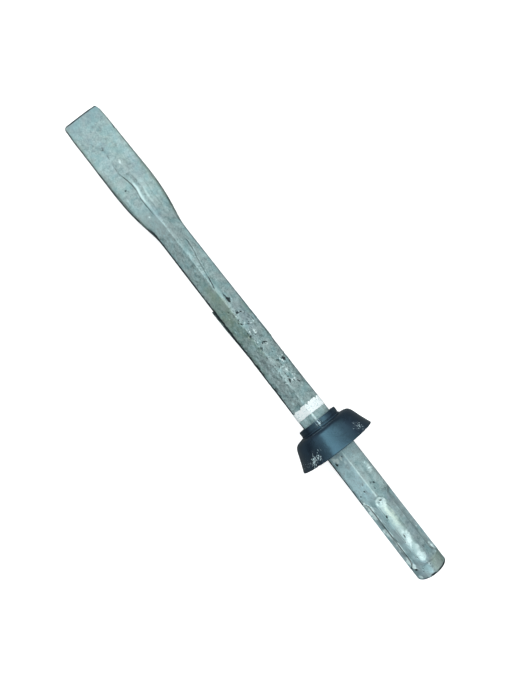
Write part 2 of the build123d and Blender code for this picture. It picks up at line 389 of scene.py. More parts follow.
# bruises beside the ridge: x, y, radius along x, radius across, depth, dark, turn in degrees
BRUISES = [
    (-225.2, 2.9, 4.4, 1.1, 0.6, 0.72, 3),
    (-224.0, 3.6, 2.0, 1.6, 0.6, 0.72, 0),
    (-196.4, 2.9, 0.9, 0.4, 0.2, 0.75, 30),
    (-194.2, 4.5, 0.7, 0.4, 0.2, 0.7, -10),
    (-192.3, 2.9, 0.8, 0.4, 0.2, 0.7, 20),
    (-209.6, 5.6, 1.0, 0.5, 0.2, 0.45, 40),
    (-207.2, 7.6, 1.2, 0.4, 0.2, 0.45, 20),
    (-212.4, 2.2, 0.9, 1.3, 0.55, 0.7, -20),
    (-211.9, 4.8, 0.6, 1.0, 0.35, 0.55, -20),
    (-202.6, 8.4, 1.4, 0.9, 0.3, 0.42, 0),
    (-201.7, 3.6, 0.7, 1.5, 0.40, 0.62, -30),
    (-204.6, 2.0, 1.0, 0.6, 0.3, 0.5, 0),
    (-167.4, 8.4, 1.9, 1.2, 0.55, 0.9, 15),
    (-152.3, 2.1, 1.6, 0.9, 0.5, 0.85, -25),
    (-175.8, 4.9, 0.8, 0.8, 0.25, 0.5, 0),
    (-169.1, 3.7, 0.6, 1.0, 0.3, 0.6, -20),
    (-186.6, -0.5, 2.2, 0.45, 0.35, 0.6, -12),
    (-203.8, -0.8, 0.9, 0.5, 0.3, 0.65, 0),
    (-206.7, -0.7, 0.8, 0.5, 0.3, 0.6, 0),
    (-158.5, 2.6, 3.6, 0.4, 0.3, 0.55, 3),
    (-165.3, 3.1, 2.0, 0.35, 0.25, 0.4, 5),
    (-161.0, 5.0, 1.3, 1.0, 0.25, 0.25, 0),
    (-151.2, 5.0, 0.9, 0.7, 0.3, 0.5, 40),
    (-149.5, 6.7, 2.2, 0.4, 0.3, 0.55, 25),
    (-154.6, 6.6, 1.2, 0.5, 0.25, 0.45, -20),
    (-155.7, 3.0, 0.7, 0.6, 0.3, 0.5, 0),
    (-231.9, -5.5, 0.65, 0.6, 0.3, 0.75, 0),
    (-273.4, 8.8, 1.2, 0.35, 0.15, 0.4, 0),
    (-292.1, 8.3, 0.9, 0.35, 0.15, 0.3, 0),
    (-341.7, -8.05, 0.75, 0.7, 0.40, 0.85, 0),
    (-381.0, -3.4, 0.65, 0.6, 0.22, 0.6, 0),
    (-374.4, -5.6, 0.5, 0.5, 0.15, 0.4, 0),
    (-326.1, 6.5, 0.5, 0.5, 0.15, 0.45, 0),
    (-369.3, -11.7, 0.5, 0.4, 0.15, 0.4, 0),
    (-393.2, 15.6, 2.2, 0.8, 0.35, 0.6, 0),
    (-335.0, 12.4, 0.7, 0.5, 0.15, 0.35, 0),
    (-89.4, -8.2, 1.5, 0.7, 0.35, 0.9, 0),
    (-92.2, -2.1, 0.7, 0.6, 0.25, 0.6, 0),
    (-69.5, -3.0, 1.2, 0.5, 0.25, 0.5, -30),
    (-65.7, -4.5, 0.6, 0.6, 0.25, 0.7, 0),
    (-63.9, -8.4, 0.7, 0.6, 0.25, 0.7, 0),
    (-66.7, 4.4, 2.2, 0.7, 0.20, 0.40, 40),
    (-68.6, 2.4, 2.2, 0.45, 0.15, 0.42, 8),
    (-64.4, 2.6, 1.8, 0.5, 0.15, 0.40, 0),
    (-55.3, 0.1, 1.2, 0.8, 0.35, 0.9, 30),
    (-54.3, -0.9, 0.7, 0.6, 0.2, 0.6, 0),
    (-54.9, 1.1, 0.6, 0.5, 0.2, 0.55, 0),
    (-44.7, -2.9, 0.9, 0.8, 0.35, 0.85, -35),
    (-42.9, -4.3, 1.6, 0.4, 0.25, 0.6, -30),
    (-28.9, -1.4, 1.5, 0.35, 0.3, 0.75, 0),
    (-23.9, -3.7, 2.4, 0.4, 0.25, 0.6, -8),
    (-16.0, -4.1, 3.0, 0.3, 0.2, 0.5, 0),
    (-29.0, -7.5, 3.0, 0.4, 0.22, 0.6, 3),
    (-43.6, -4.9, 2.0, 0.45, 0.2, 0.5, -30),
    (-7.8, -9.0, 0.9, 0.7, 0.3, 0.85, -35),
    (-66.2, 4.6, 2.4, 0.5, 0.15, 0.32, 20),
    (-65.0, 3.4, 2.0, 0.45, 0.15, 0.36, -20),
    (-17.9, 4.2, 0.9, 0.4, 0.2, 0.5, 0),
    (-6.8, 0.8, 0.5, 0.45, 0.2, 0.75, 0),
    (-5.3, 0.95, 0.4, 0.4, 0.2, 0.7, 0),
    (-8.2, -0.3, 0.7, 0.35, 0.15, 0.5, 10),
    (-7.0, -4.8, 0.45, 0.4, 0.2, 0.6, 0),
    (-5.2, -5.6, 0.4, 0.4, 0.2, 0.6, 0),
    (-2.6, -8.4, 1.2, 0.8, 0.3, 0.2, 30),
]
# pale rubbed or dusty spots: x, y, radius along x, radius across, strength, turn
PALE = [
    (-363.8, 2.36, 2.4, 0.9, 0.62, 0),
    (-311.6, -5.7, 1.2, 0.8, 0.85, -15),
    (-391.0, -1.2, 4.0, 1.8, 0.14, 20),
    (-396.6, 11.0, 3.4, 1.7, 0.20, 25),
    (-349.9, 11.2, 4.0, 1.4, 0.12, 0),
    (-357.0, -5.6, 6.0, 0.8, 0.18, 0),
    (-331.5, -11.35, 6.0, 0.7, 0.34, 2),
    (-351.0, -4.3, 4.0, 0.6, 0.20, 22),
    (-329.7, 6.1, 6.0, 1.6, 0.14, 0),
    (-195.2, 3.6, 1.5, 1.2, 0.60, 20),
    (-193.2, 3.8, 1.0, 0.8, 0.55, 20),
    (-182.8, 4.5, 0.8, 1.7, 0.50, -10),
    (-167.0, 6.9, 1.2, 0.6, 0.7, 0),
    (-162.2, 5.8, 2.4, 1.5, 0.34, 0),
    (-160.0, 3.9, 1.6, 1.0, 0.34, 0),
    (-154.2, 6.8, 1.6, 0.8, 0.36, 20),
    (-151.8, 4.6, 0.8, 1.0, 0.50, 0),
    (-156.0, 8.6, 1.7, 0.5, 0.35, 0),
    (-153.6, -3.6, 2.0, 0.4, 0.42, 62),
    (-152.0, -0.6, 1.4, 0.45, 0.45, 62),
    (-149.3, -2.3, 2.0, 0.6, 0.40, 0),
    (-208.5, 0.5, 2.4, 0.5, 0.30, 0),
    (-202.6, 0.4, 2.2, 0.5, 0.30, 0),
    (-196.2, 0.7, 2.6, 0.5, 0.32, 0),
    (-187.0, 0.8, 2.2, 0.5, 0.28, 0),
    (-192.9, -2.6, 2.8, 0.5, 0.3, -40),
    (-188.6, -5.9, 3.2, 0.5, 0.25, -40),
    (-181.0, -1.5, 1.0, 0.4, 0.4, -40),
    (-139.0, -5.8, 2.6, 2.4, 0.25, 0),
    (-136.5, 3.0, 1.8, 3.0, 0.2, 0),
    (-120.0, 0.0, 0.1, 0.1, 0.0, 0),
    (-123.5, -0.2, 2.6, 0.9, 0.6, 0),
    (-124.0, -7.5, 1.6, 2.2, 0.35, 0),
    (-92.3, -7.2, 2.1, 1.1, 0.85, 10),
    (-90.0, -5.6, 2.0, 1.0, 0.80, 0),
    (-87.6, -2.6, 1.3, 1.0, 0.70, 0),
    (-84.5, -3.0, 0.7, 0.7, 0.5, 0),
    (-91.2, -3.3, 1.4, 0.8, 0.75, 0),
    (-86.5, 5.2, 2.6, 1.5, 0.25, 0),
    (-77.4, 7.9, 2.4, 1.5, 0.50, 20),
    (-73.6, 7.6, 2.3, 1.4, 0.48, -15),
    (-81.6, 6.2, 2.0, 1.5, 0.30, 0),
    (-66.6, -6.8, 1.6, 0.6, 0.35, 0),
    (-57.6, -9.3, 2.8, 1.4, 0.85, 20),
    (-54.0, -8.2, 3.0, 1.8, 0.95, 20),
    (-48.6, -9.2, 3.8, 1.7, 0.90, 0),
    (-33.6, -9.1, 3.4, 1.5, 0.85, 0),
    (-24.3, -8.6, 3.8, 1.4, 0.68, 0),
    (-12.4, -9.3, 3.6, 1.7, 0.95, 0),
    (-13.1, 8.7, 3.0, 0.8, 0.62, 0),
    (-28.0, 8.75, 1.0, 0.5, 0.65, 0),
    (-55.0, 0.5, 2.6, 2.7, 0.30, 0),
    (-46.0, 0.6, 7.0, 2.6, 0.30, 0),
    (-27.0, 0.2, 3.6, 2.0, 0.60, -25),
    (-23.4, -0.9, 2.6, 1.3, 0.55, -10),
    (-31.3, -0.3, 1.8, 0.9, 0.42, 0),
    (-19.5, 1.2, 1.8, 1.2, 0.42, -20),
    (-13.6, -0.1, 3.0, 2.3, 0.45, 0),
    (-43.0, 0.6, 9.0, 2.2, 0.22, 0),
    (-7.6, 0.3, 2.0, 0.7, 0.45, 0),
    (-2.3, -8.8, 1.3, 0.9, 0.6, 20),
    (-7.8, -7.6, 1.8, 0.5, 0.3, 35),
]
for bx, by, rx, ry, depth, dk, turn in BRUISES:
    c, s = math.cos(math.radians(turn)), math.sin(math.radians(turn))
    near = np.nonzero((np.abs(px - bx) < 3 * max(rx, ry)) & (np.abs(py - by) < 3 * max(rx, ry)) & (pz > 0))[0]
    if not len(near):
        continue
    ux, uy = px[near] - bx, py[near] - by
    jag = (0.55 * noise(P[near], 1.5, 31) + 0.50 * noise(P[near], 0.75, 32)) * (0.45 if depth > 0.58 else 1.0)
    r = np.hypot((ux * c + uy * s) / rx, (-ux * s + uy * c) / ry) + jag
    hollow = 1 - smooth(0.45, 1.25, r)
    raise_by[near] -= depth * hollow
    raise_by[near] += 0.25 * depth * hump(r - 1.45, 0.28)
    dark[near] += dk * (1 - smooth(0.45, 1.1, r))
    lit = hump(r - 1.5, 0.30) * smooth(-0.2, 0.6, noise(P[near], 1.4, 33)) * smooth(0.12, 0.3, depth)
    pale[near] += (0.25 + 0.45 * battered[near]) * lit * (0.3 if bx < -215 or abs(by) < 1 else 1.0)
for bx, by, rx, ry, strength, turn in PALE:
    c, s = math.cos(math.radians(turn)), math.sin(math.radians(turn))
    near = np.nonzero((np.abs(px - bx) < 3 * max(rx, ry)) & (np.abs(py - by) < 3 * max(rx, ry)) & (pz > 0))[0]
    if not len(near):
        continue
    ux, uy = px[near] - bx, py[near] - by
    r = np.hypot((ux * c + uy * s) / rx, (-ux * s + uy * c) / ry) + 0.5 * noise(P[near], 1.7, 37) + 0.45 * noise(P[near], 0.8, 38)
    pale[near] += strength * (1 - smooth(0.35, 1.45, r))
    raise_by[near] += 0.04 * strength * (1 - smooth(0.4, 1.1, r))

# faint crease on the -Y side, running out towards the cutting edge
crease = refine([(-390.5, -1.6), (-381.0, -2.2), (-372.0, -2.9), (-362.0, -3.9), (-353.5, -3.6)], 4)
near = (px > -395) & (px < -349) & (pz > 0) & (np.abs(py) < 8)
s, t = along(crease, px[near], py[near])
ends = smooth(0.0, 0.3, t) * (1 - smooth(0.8, 1.0, t))
raise_by[near] -= ends * 0.16 * hump(s, 0.8)
dark[near] += ends * 0.42 * hump(s, 0.55) * (1 + 0.9 * noise(P[near], (3.0, 1.5, 1.5), 241)).clip(0)
tone[near] += 0.30 * ends * hump(s + 1.3, 0.8)

# C-shaped crack on the +Y face
crack = refine([(-183.0, 6.3), (-184.3, 5.6), (-184.9, 4.4), (-184.7, 3.2), (-183.4, 2.3)], 4)
near = (px > -190) & (px < -178) & (pz > 0)
s, t = along(crack, px[near], py[near])
ends = smooth(0.0, 0.12, t) * (1 - smooth(0.88, 1.0, t))
raise_by[near] -= ends * 0.4 * hump(s, 0.4)
dark[near] += ends * 0.9 * hump(s, 0.38)

# corners of the bar: rubbed bright with a painted highlight along the ridge, and beaten flat between the lap and the
# marking tape
corner_turn = np.degrees(np.arctan2(py, pz)) % 60
corner_off = np.minimum(corner_turn, 60 - corner_turn)
radius = np.hypot(py, pz)
corner_mm = np.radians(corner_off) * radius
thin_ridge = smooth(-131.0, -128.0, px)
on_corner = (px > -303) * hump(corner_mm, 0.95 - 0.28 * thin_ridge) * (1 - smooth(-9.5, -8.4, px))
# past the tape the corners are rounder, so only a thin line of them catches the light
raise_by -= thin_ridge * 0.16 * smooth(0.15, 0.85, corner_mm) * (1 - smooth(0.95, 2.0, corner_mm)) * (1 - smooth(-9.5, -8.3, px)) * (1 - smooth(-61, -58, px))
on_top = top * (np.abs(py) < 4)
stretch_rub_and_sheen = 0.28 + 0.56 * smooth(-129.6, -128.0, px) - 0.22 * smooth(-196, -184, px) * (1 - smooth(-131.0, -129.0, px))
stretch_rub_and_sheen = np.where(on_top > 0, stretch_rub_and_sheen, 0.38)
# painted shade along the -Y edge of the battered stretch
dark += 0.42 * top * smooth(-10.2, -11.2, py) * smooth(-227, -224, px) * (1 - smooth(-190, -186, px))
# painted highlight: a pale line along the thin ridge past the tape
pale += 0.50 * thin_ridge * on_top * hump(corner_mm, 0.55) * (0.65 + 0.7 * noise(np.stack([px, py * 0, py * 0], 1), (1.6, 1, 1), 225)).clip(0) * (px < -58)
beside = np.abs(py) > 8  # the corners beside the flats carry painted shade and little rub
stretch_rub_and_sheen = np.where(beside, 0.08, stretch_rub_and_sheen)
straight = np.stack([px, radius * 0, np.round(np.degrees(np.arctan2(py, pz)) / 60) * 40], 1)
chip = smooth(0.02, 0.55, noise(straight, (2.3, 1, 40), 41)) + 0.6 * smooth(0.1, 0.6, noise(straight, (5.1, 1, 40), 43))
raise_by -= battered * hump(corner_mm, 1.5) * 0.42 * chip
raise_by -= (1 - battered) * is_bar * hump(corner_mm, 1.0) * 0.10 * smooth(0.1, 0.7, noise(straight, (6.0, 1, 40), 44))
# rubbed corners, partly a painted highlight along the ridge
rub += on_corner * stretch_rub_and_sheen * (1 - 0.45 * battered) * (0.75 + 0.45 * noise(straight, (3.5, 1, 40), 45))
# painted shade along the side corners and on the side flats, heavier on -Y
edge_shade_line = np.where(py > 0, 0.50 * hump(corner_mm, 0.55), (0.98 + 0.30 * smooth(-310, -300, px) * (1 - smooth(-146, -138, px))) * hump(corner_mm, 0.62 + 0.46 * smooth(-318, -300, px) * (1 - smooth(-150, -138, px))))
dark += beside * is_bar * edge_shade_line * (0.85 + 0.5 * noise(P, (4.0, 2, 2), 50)) * (px < -9)
dark += 0.30 * beside * is_bar * (corner_off > 22) * (np.abs(py) > 10.3) * (px < -9)
dark += battered * hump(corner_mm, 1.9) * 0.38 * smooth(0.25, 0.7, noise(P, (1.5, 0.8, 0.8), 47)) * (1 - 0.6 * smooth(-190, -178, px))
pale += battered * hump(corner_mm, 1.2) * 0.42 * smooth(0.3, 0.75, noise(P, (1.6, 0.8, 0.8), 49)) * (1 - 0.75 * smooth(-196, -184, px))

# each corner is worn to a slightly tilted narrow facet
for k, lean_k in enumerate((0.235, 0.12, -0.15, 0.10, -0.18, 0.14)):
    turn = math.radians(60 * k)
    out_k = pz * math.cos(turn) + py * math.sin(turn)
    across_k = (py * math.cos(turn) - pz * math.sin(turn)) * (1 if lean_k > 0 else -1)
    slope_k = abs(lean_k) * (1 + 0.25 * noise(straight, (9.0, 1, 40), 46 + k))
    if k == 0:
        slope_k = slope_k * (1 - 0.55 * smooth(-205, -190, px)) * (1 - smooth(-140, -134, px))
    excess = out_k - (12.302 - slope_k * (across_k + 0.69))
    mine = (across_k > -0.75) & (across_k < 3.2) & (out_k > 9)
    cut = np.clip(excess, 0, 0.5) * mine * smooth(-303, -291, px) * (1 - smooth(-9.5, -8.3, px))
    raise_by -= cut
    mild = stretch_rub_and_sheen if k == 0 else 0.3 * (1 - beside)
    rub += 0.55 * mild * smooth(0.0, 0.06, cut) * (1 - 0.55 * battered) * (0.85 + 0.5 * noise(straight, (3.0, 1, 40), 48))

# chipped, dusty speckle of the battered stretch, thickest on the upper +Y face beside the ridge
near_ridge = top * (0.30 + 0.70 * np.exp(-(((py - 3.0) / 4.6) ** 2)))
thick = battered * near_ridge * (0.45 + 0.75 * smooth(-0.3, 0.5, noise(P, (8, 4, 4), 200)))
thick = thick + 0.16 * (1 - top) * battered + 0.10 * is_bar
fleck = 0.7 * noise(P, (0.95, 0.8, 0.8), 201) + 0.4 * noise(P, (2.4, 1.6, 1.6), 203)
chipped = 0.7 * noise(P, (1.2, 0.9, 0.9), 202) + 0.4 * noise(P, (2.8, 1.8, 1.8), 204)
dark += thick * 0.55 * smooth(0.12, 0.60, fleck)
pale += thick * 0.45 * smooth(0.16, 0.62, chipped)
tone += battered * 0.34 * noise(P, (2.6, 1.7, 1.7), 205) + is_bar * 0.20 * noise(P, (3.4, 2.2, 2.2), 206) + 0.10 * is_blade * noise(P, (3.0, 2.4, 2.4), 207)
raise_by += battered * near_ridge * (0.07 * smooth(0.3, 0.8, chipped) - 0.10 * smooth(0.3, 0.75, fleck))

# scattered pits and small dents over the whole tool, thicker in the battered stretch
rng = np.random.default_rng(685)
cells = rng.integers(0, len(P), 1500)
made = 0
for k in cells:
    cx, cy, cz = P[k]
    b = battered[k]
    if rng.random() > 0.16 + 0.55 * b or (cz > 0 and b < 0.3 and rng.random() < 0.55):
        continue
    r0 = rng.uniform(0.25, 0.6) * (1 + 0.5 * b)
    depth = rng.uniform(0.05, 0.16) * (1 + 1.0 * b)
    stretch = rng.uniform(0.6, 2.0)
    near = np.nonzero(np.abs(px - cx) < 3 * r0 * stretch)[0]
    v = P[near] - P[k]
    r = np.sqrt((v[:, 0] / stretch) ** 2 + v[:, 1] ** 2 + v[:, 2] ** 2) / r0
    keep = r < 1.6
    near, r = near[keep], r[keep]
    raise_by[near] -= depth * (1 - smooth(0.2, 1.2, r))
    dark[near] += rng.uniform(0.1, 0.55) * (1 - smooth(0.2, 1.1, r))
    made += 1

# broad tones of the metal
blue = (1 - smooth(-413.0, -398.0, px + 4.0 * noise(P, (9, 7, 7), 51))) * 0.9
blue += 0.35 * hump(px + 338, 30) * smooth(0.0, 0.8, noise(P, (16, 8, 8), 52))
warm += 0.8 * smooth(0.15, 0.7, noise(P, (14, 6, 6), 53)) * smooth(-255, -236, px) * (1 - smooth(-205, -180, px))
warm += 1.0 * top * np.exp(-(((px + 233) / 7) ** 2) - (((py + 4.5) / 4) ** 2))
warm += 0.45 * top * np.exp(-(((px + 44) / 12) ** 2) - (((py - 0.8) / 2.2) ** 2))
warm += 0.25 * smooth(0.1, 0.8, noise(P, (20, 8, 8), 54)) * is_blade
tone += 0.28 * fbm(P, (18, 8, 8), 55, 3) + 0.22 * battered * fbm(P, (2.6, 1.6, 1.6), 56, 3)
tone += 0.13 * is_blade - 0.22 * (1 - smooth(-412.0, -392.0, px))
tone += 0.26 * hump(px + 303, 14) * smooth(0.5, -0.5, py) * top
tone -= 0.10 * battered
tone += 0.20 * fbm(P, (7, 5, 5), 65, 3) * is_blade
# painted shade in the dimple between the blade and the ridge
tone -= 0.30 * np.exp(-(((px + 308.5) / 5.0) ** 2) - (((py - 0.8) / 3.0) ** 2)) * top
drive_side = smooth(-97.0, -93.0, px)
lower_face = smooth(0.6, -0.8, py) * top
tone += drive_side * (0.30 + 0.20 * lower_face)
gap = smooth(-129.5, -128.0, px) * (1 - smooth(-121.5, -120.0, px))
tone += 0.20 * gap
frost += 0.30 * gap * lower_face
# painted light beside the cup's rim: a pale bluish lift over the shade the cup casts
near_cup = top * smooth(-100.0, -97.5, px) * (1 - smooth(-92.0, -82.0, px))
frost += (0.50 + 0.28 * lower_face) * near_cup
tone += 0.14 * near_cup * lower_face
frost += 0.48 * lower_face * smooth(-98.0, -94.0, px) * (1 - smooth(-66.0, -60.0, px))
blue += 0.25 * near_cup
frost += 0.20 * drive_side * top * (1 - lower_face) * (1 - smooth(-80, -70, px))
tone += 0.12 * smooth(-303, -296, px) * (1 - smooth(-240, -225, px)) * lower_face
tone += 0.55 * smooth(-334, -318, px) * (1 - smooth(-302, -288, px)) * lower_face
# coarse grain of the scale on the shaded faces
shaded = is_bar * lower_face * (1 - drive_side)
tone += shaded * (0.52 + 0.30 * battered) * noise(P, (1.9, 1.2, 1.2), 222) + shaded * 0.42 * noise(P, (0.9, 0.65, 0.65), 223)
dark += shaded * 0.34 * smooth(0.35, 0.75, noise(P, (1.1, 0.8, 0.8), 226))
frost += shaded * 0.30 * smooth(0.25, 0.75, noise(P, (2.4, 1.3, 1.3), 227))
tone -= 0.10 * (1 - smooth(-409.0, -398.0, px))
frost += drive_side * lower_face * (1.0 * (1 - smooth(-61, -56, px)) + 0.55 * smooth(-60, -56, px)) * (1.0 + 0.35 * noise(P, (6, 3, 3), 210))
tone += drive_side * lower_face * (0.20 * (1 - smooth(-76, -64, px)) + 0.34 * noise(P, (2.2, 1.4, 1.4), 224) + 0.22 * noise(P, (1.0, 0.7, 0.7), 228))
frost += 0.24 * lower_face * smooth(-10.5, -8.5, px)
tone += 0.20 * hump(px + 124, 3.5) + 0.14 * smooth(-300, -290, px) * (1 - smooth(-236, -222, px)) * smooth(0.5, -0.5, py) * top
blue += 0.55 * drive_side * smooth(0.6, -0.8, py) * top * (1 - smooth(-5, -2, px) * 0.3)
# the same dimple: painted bluish shade, and pressed in a little
blue += 0.6 * np.exp(-(((px + 307.7) / 4.0) ** 2) - ((py / 2.6) ** 2)) * top
dark += 0.30 * np.exp(-(((px + 308.7) / 3.2) ** 2) - (((py - 0.6) / 2.0) ** 2)) * top
raise_by -= 0.18 * np.exp(-(((px + 308.7) / 3.6) ** 2) - (((py - 0.6) / 2.4) ** 2)) * top
warm += 0.9 * smooth(-10.5, -8.0, px) * smooth(0.5, 3.0, py) * top
tone -= 0.16 * smooth(-10.5, -8.0, px) * smooth(0.5, 3.0, py) * top
# painted shade, tinted brown, round the blade's edges and on the rounding of the striking end
blade_edge_shade = is_blade * smooth(0.62, 0.97, np.abs(py) / np.interp(px, ring_x, np.abs(Y).max(1))) ** 3
dark += blade_edge_shade * np.where(py > 0, 0.13, 0.16) * (0.8 + 0.6 * noise(P, (5, 3, 3), 64))
warm += 0.6 * blade_edge_shade
# a thin line of painted shade right on the blade's outline and along the cutting edge, tinted brown
half_here = np.interp(px, ring_x, np.abs(Y).max(1))
outline = is_blade * smooth(1.5, 0.35, half_here - np.abs(py))
tip_shade_line = is_blade * smooth(2.8, 1.6, px - x_low - 0.75 - 0.75 * np.clip((py + 15.0) / 30.0, 0, 1))
outline = np.maximum(outline, tip_shade_line)
outline *= 0.85 + 0.5 * noise(P, (3, 3, 3), 211)
nz = np.abs(normal.reshape(-1, 3)[:, 2])
side_face = is_blade * smooth(0.55, 0.25, nz) * smooth(-302.0, -312.0, px)
dark += (outline * np.where(py > 0, 0.62, 0.80) + 0.60 * tip_shade_line) * (1 - 0.74 * side_face)
warm += 0.5 * outline
# painted shade on the rounding of the striking end, lighter on -Y
end_shade = smooth(-2.0, -1.05, px)
dark += 1.15 * end_shade * (0.80 + 0.5 * noise(P, (2, 3, 3), 63)) * (1 - 0.55 * smooth(-2.0, -6.0, py))
plum = 0.75 * np.exp(-(((px + 209) / 15) ** 2)) * smooth(0.5, 2.5, py) * top * (0.7 + 0.5 * noise(P, (8, 3, 3), 66))
plum += 0.5 * smooth(0.15, 0.7, noise(P, (12, 6, 6), 67)) * is_blade
plum += 0.7 * smooth(0.1, 0.6, noise(P, (9, 3, 3), 68)) * (px > -58)
green = 1.0 * np.exp(-(((px + 214) / 25) ** 2)) * (1 - smooth(-1.5, 0.0, py)) * top
green += 0.5 * smooth(0.2, 0.75, noise(P, (11, 4, 4), 69)) * smooth(-262, -240, px) * (1 - smooth(-150, -140, px)) * (1 - 0.8 * smooth(-1.0, 0.3, py) * (1 - smooth(-180, -170, px)))
# the slots are rubbed by the retaining pin and dusty
slot_deep = smooth(0.25, 1.1, 11.6 - radius) * (px > -60) * (px < -9.5)
centre_slot = slot_deep * top * np.exp(-((py / 4.5) ** 4))
pale += (0.16 + 0.10 * centre_slot) * slot_deep * (0.8 + 0.6 * noise(P, (5, 1.6, 1.6), 57))
rub += 0.30 * slot_deep + 0.25 * centre_slot
green += 0.50 * centre_slot * np.exp(-(((px + 42) / 9) ** 4))
ring_r = np.hypot(px + 54.3, py * 0.95)
pale += 0.70 * top * hump(ring_r - 2.7, 0.8) * (px > -60) * (np.abs(py) < 3.6) * (0.75 + 0.5 * noise(P, (1.2, 1.0, 1.0), 221))
land_upper = top * smooth(3.9, 4.6, py) * (px > -60) * (px < -9.5)
tone -= 0.22 * land_upper
plum += 0.55 * slot_deep * (1 - centre_slot)
tone -= 0.22 * slot_deep * (1 - centre_slot)
# painted shade along the lower lip of the top slot
lower_lip_shade = hump(np.abs(py + 3.15) * (pz > 9), 0.35) * (px > -55) * (px < -12) * (pz > 9)
dark += 0.55 * lower_lip_shade * smooth(-0.6, 0.3, noise(P, (5, 2, 2), 58))
# painted shade along the cutting edge
dark += 0.35 * (1 - smooth(0.25, 0.9, px - x_low)) * smooth(-0.2, 0.6, noise(P, (1, 2.5, 1), 59))
out_side, across_side = 0.5 * pz - 0.866 * py, 0.5 * py + 0.866 * pz
side_lip = hump(across_side - 3.3, 0.55) * (out_side > 8) * (px > -60) * (px < -9)
pale += 0.75 * side_lip * smooth(-0.25, 0.4, noise(P, (4.0, 2, 2), 242))
frost += 0.5 * side_lip
raise_by -= 0.34 * hump(across_side - 3.75, 0.75) * (out_side > 8) * (px > -59) * (px < -10) * smooth(-0.15, 0.35, noise(P, (4.5, 2, 2), 243))
rub *= 1 - 0.34 * on_top * smooth(-301, -296, px) * (1 - smooth(-238, -230, px))
# dust caught round the dust cup and tape
pale += 0.35 * hump(px + 123.3, 3.0) * smooth(-0.1, 0.7, noise(P, (2.5, 3, 3), 60))
pale += 0.25 * hump(px + 92.0, 6.0) * smooth(0.1, 0.8, noise(P, (3, 2.5, 2.5), 61))
pale += 0.16 * smooth(0.35, 0.8, noise(P, (1.8, 1.0, 1.0), 62)) * (is_bar + 0.5 * is_blade)

# under the tape and cup nothing may stand proud
limit = np.where(cup_zone > 0.5, 0.03, 0.45)
raise_by = np.where(cup_zone > 0, np.minimum(raise_by, limit), raise_by)
# the striking end keeps its round, only lightly bruised
end_fade = smooth(-0.4, -3.0, px)
raise_by *= 0.35 + 0.65 * end_fade
tip_fade = smooth(0.0, 2.0, px - x_low)
raise_by *= 0.4 + 0.6 * tip_fade

N = normal.reshape(-1, 3)
Q = P + N * raise_by[:, None]
Q[:, 0] = np.clip(Q[:, 0], x_low, x_high)
chisel_grid = Q.reshape(RINGS, COLUMNS, 3)

attributes = {
    "tone": tone,
    "dark": np.clip(dark, 0, 1),
    "pale": np.clip(pale, 0, 1),
    "warm": np.clip(warm, 0, 1),
    "rub": np.clip(rub, 0, 1),
    "blue": np.clip(blue, 0, 1),
    "plum": np.clip(plum, 0, 1),
    "green": np.clip(green, 0, 1),
    "frost": np.clip(frost, 0, 1.25),
}
points = [Q]
extra = {k: [v] for k, v in attributes.items()}
faces = grid_faces(RINGS, COLUMNS)

# striking face: rings closing on the centre, slightly dished and bruised by the hammer
last = (RINGS - 1) * COLUMNS
rim = chisel_grid[-1]
count = RINGS * COLUMNS
shares = np.linspace(1, 0, 26)[1:-1]
for f in shares:
    ring = rim.copy()
    ring[:, 1:] *= f
    depth = 0.10 * smooth(1.0, 0.55, f) + 0.05 * (fbm(ring, 3.0, 71, 3) * 0.5 + 0.5) + 0.02
    ring[:, 0] = x_high - depth * smooth(1.0, 0.93, f) - 0.02 * (1 - smooth(1.0, 0.93, f))
    points.append(ring)
    worn = smooth(-0.3, 0.6, fbm(ring, 2.5, 72, 3))
    for key, value in (
        ("tone", 0.1 + 0.3 * fbm(ring, 4, 73, 3)),
        ("dark", 0.25 * (1 - worn)),
        ("pale", 0.1 * worn),
        ("warm", np.full(COLUMNS, 0.15)),
        ("rub", 0.55 * worn),
        ("blue", np.zeros(COLUMNS)),
        ("plum", np.full(COLUMNS, 0.2)),
        ("green", np.zeros(COLUMNS)),
        ("frost", np.zeros(COLUMNS)),
    ):
        extra[key].append(np.clip(value, -1, 1))
centre = np.array([[x_high - 0.15, 0.0, 0.0]])
points.append(centre)
for key in extra:
    extra[key].append(np.array([0.3 if key == "rub" else 0.0]))
prev = last
for k in range(len(shares)):
    cur = count + k * COLUMNS
    for j in range(COLUMNS):
        n = (j + 1) % COLUMNS
        faces.append((prev + j, prev + n, cur + n, cur + j))
    prev = cur
middle = count + len(shares) * COLUMNS
for j in range(COLUMNS):
    faces.append((prev + j, prev + (j + 1) % COLUMNS, middle))

# cutting edge: its narrow end face is closed by joining the top row to the bottom row across a middle row
top_row = list(range(COLUMNS - COLUMNS_PER_SPAN[15], COLUMNS)) + list(range(0, COLUMNS))
half = COLUMNS // 2
order = [(COLUMNS - COLUMNS_PER_SPAN[15] // 2 + k) % COLUMNS for k in range(COLUMNS)]
edge = chisel_grid[0]
# columns from the middle of the top strip round +Y to the middle of the bottom strip mirror those round -Y;
# top and bottom pairs share the same y, so pair each column with its mirror in z
mirror = {}
mid_plus = sum(COLUMNS_PER_SPAN[:3]) + COLUMNS_PER_SPAN[3] // 2
for k in range(COLUMNS):
    mirror[(mid_plus + k) % COLUMNS] = (mid_plus - k) % COLUMNS
base_index = sum(len(p) for p in points)
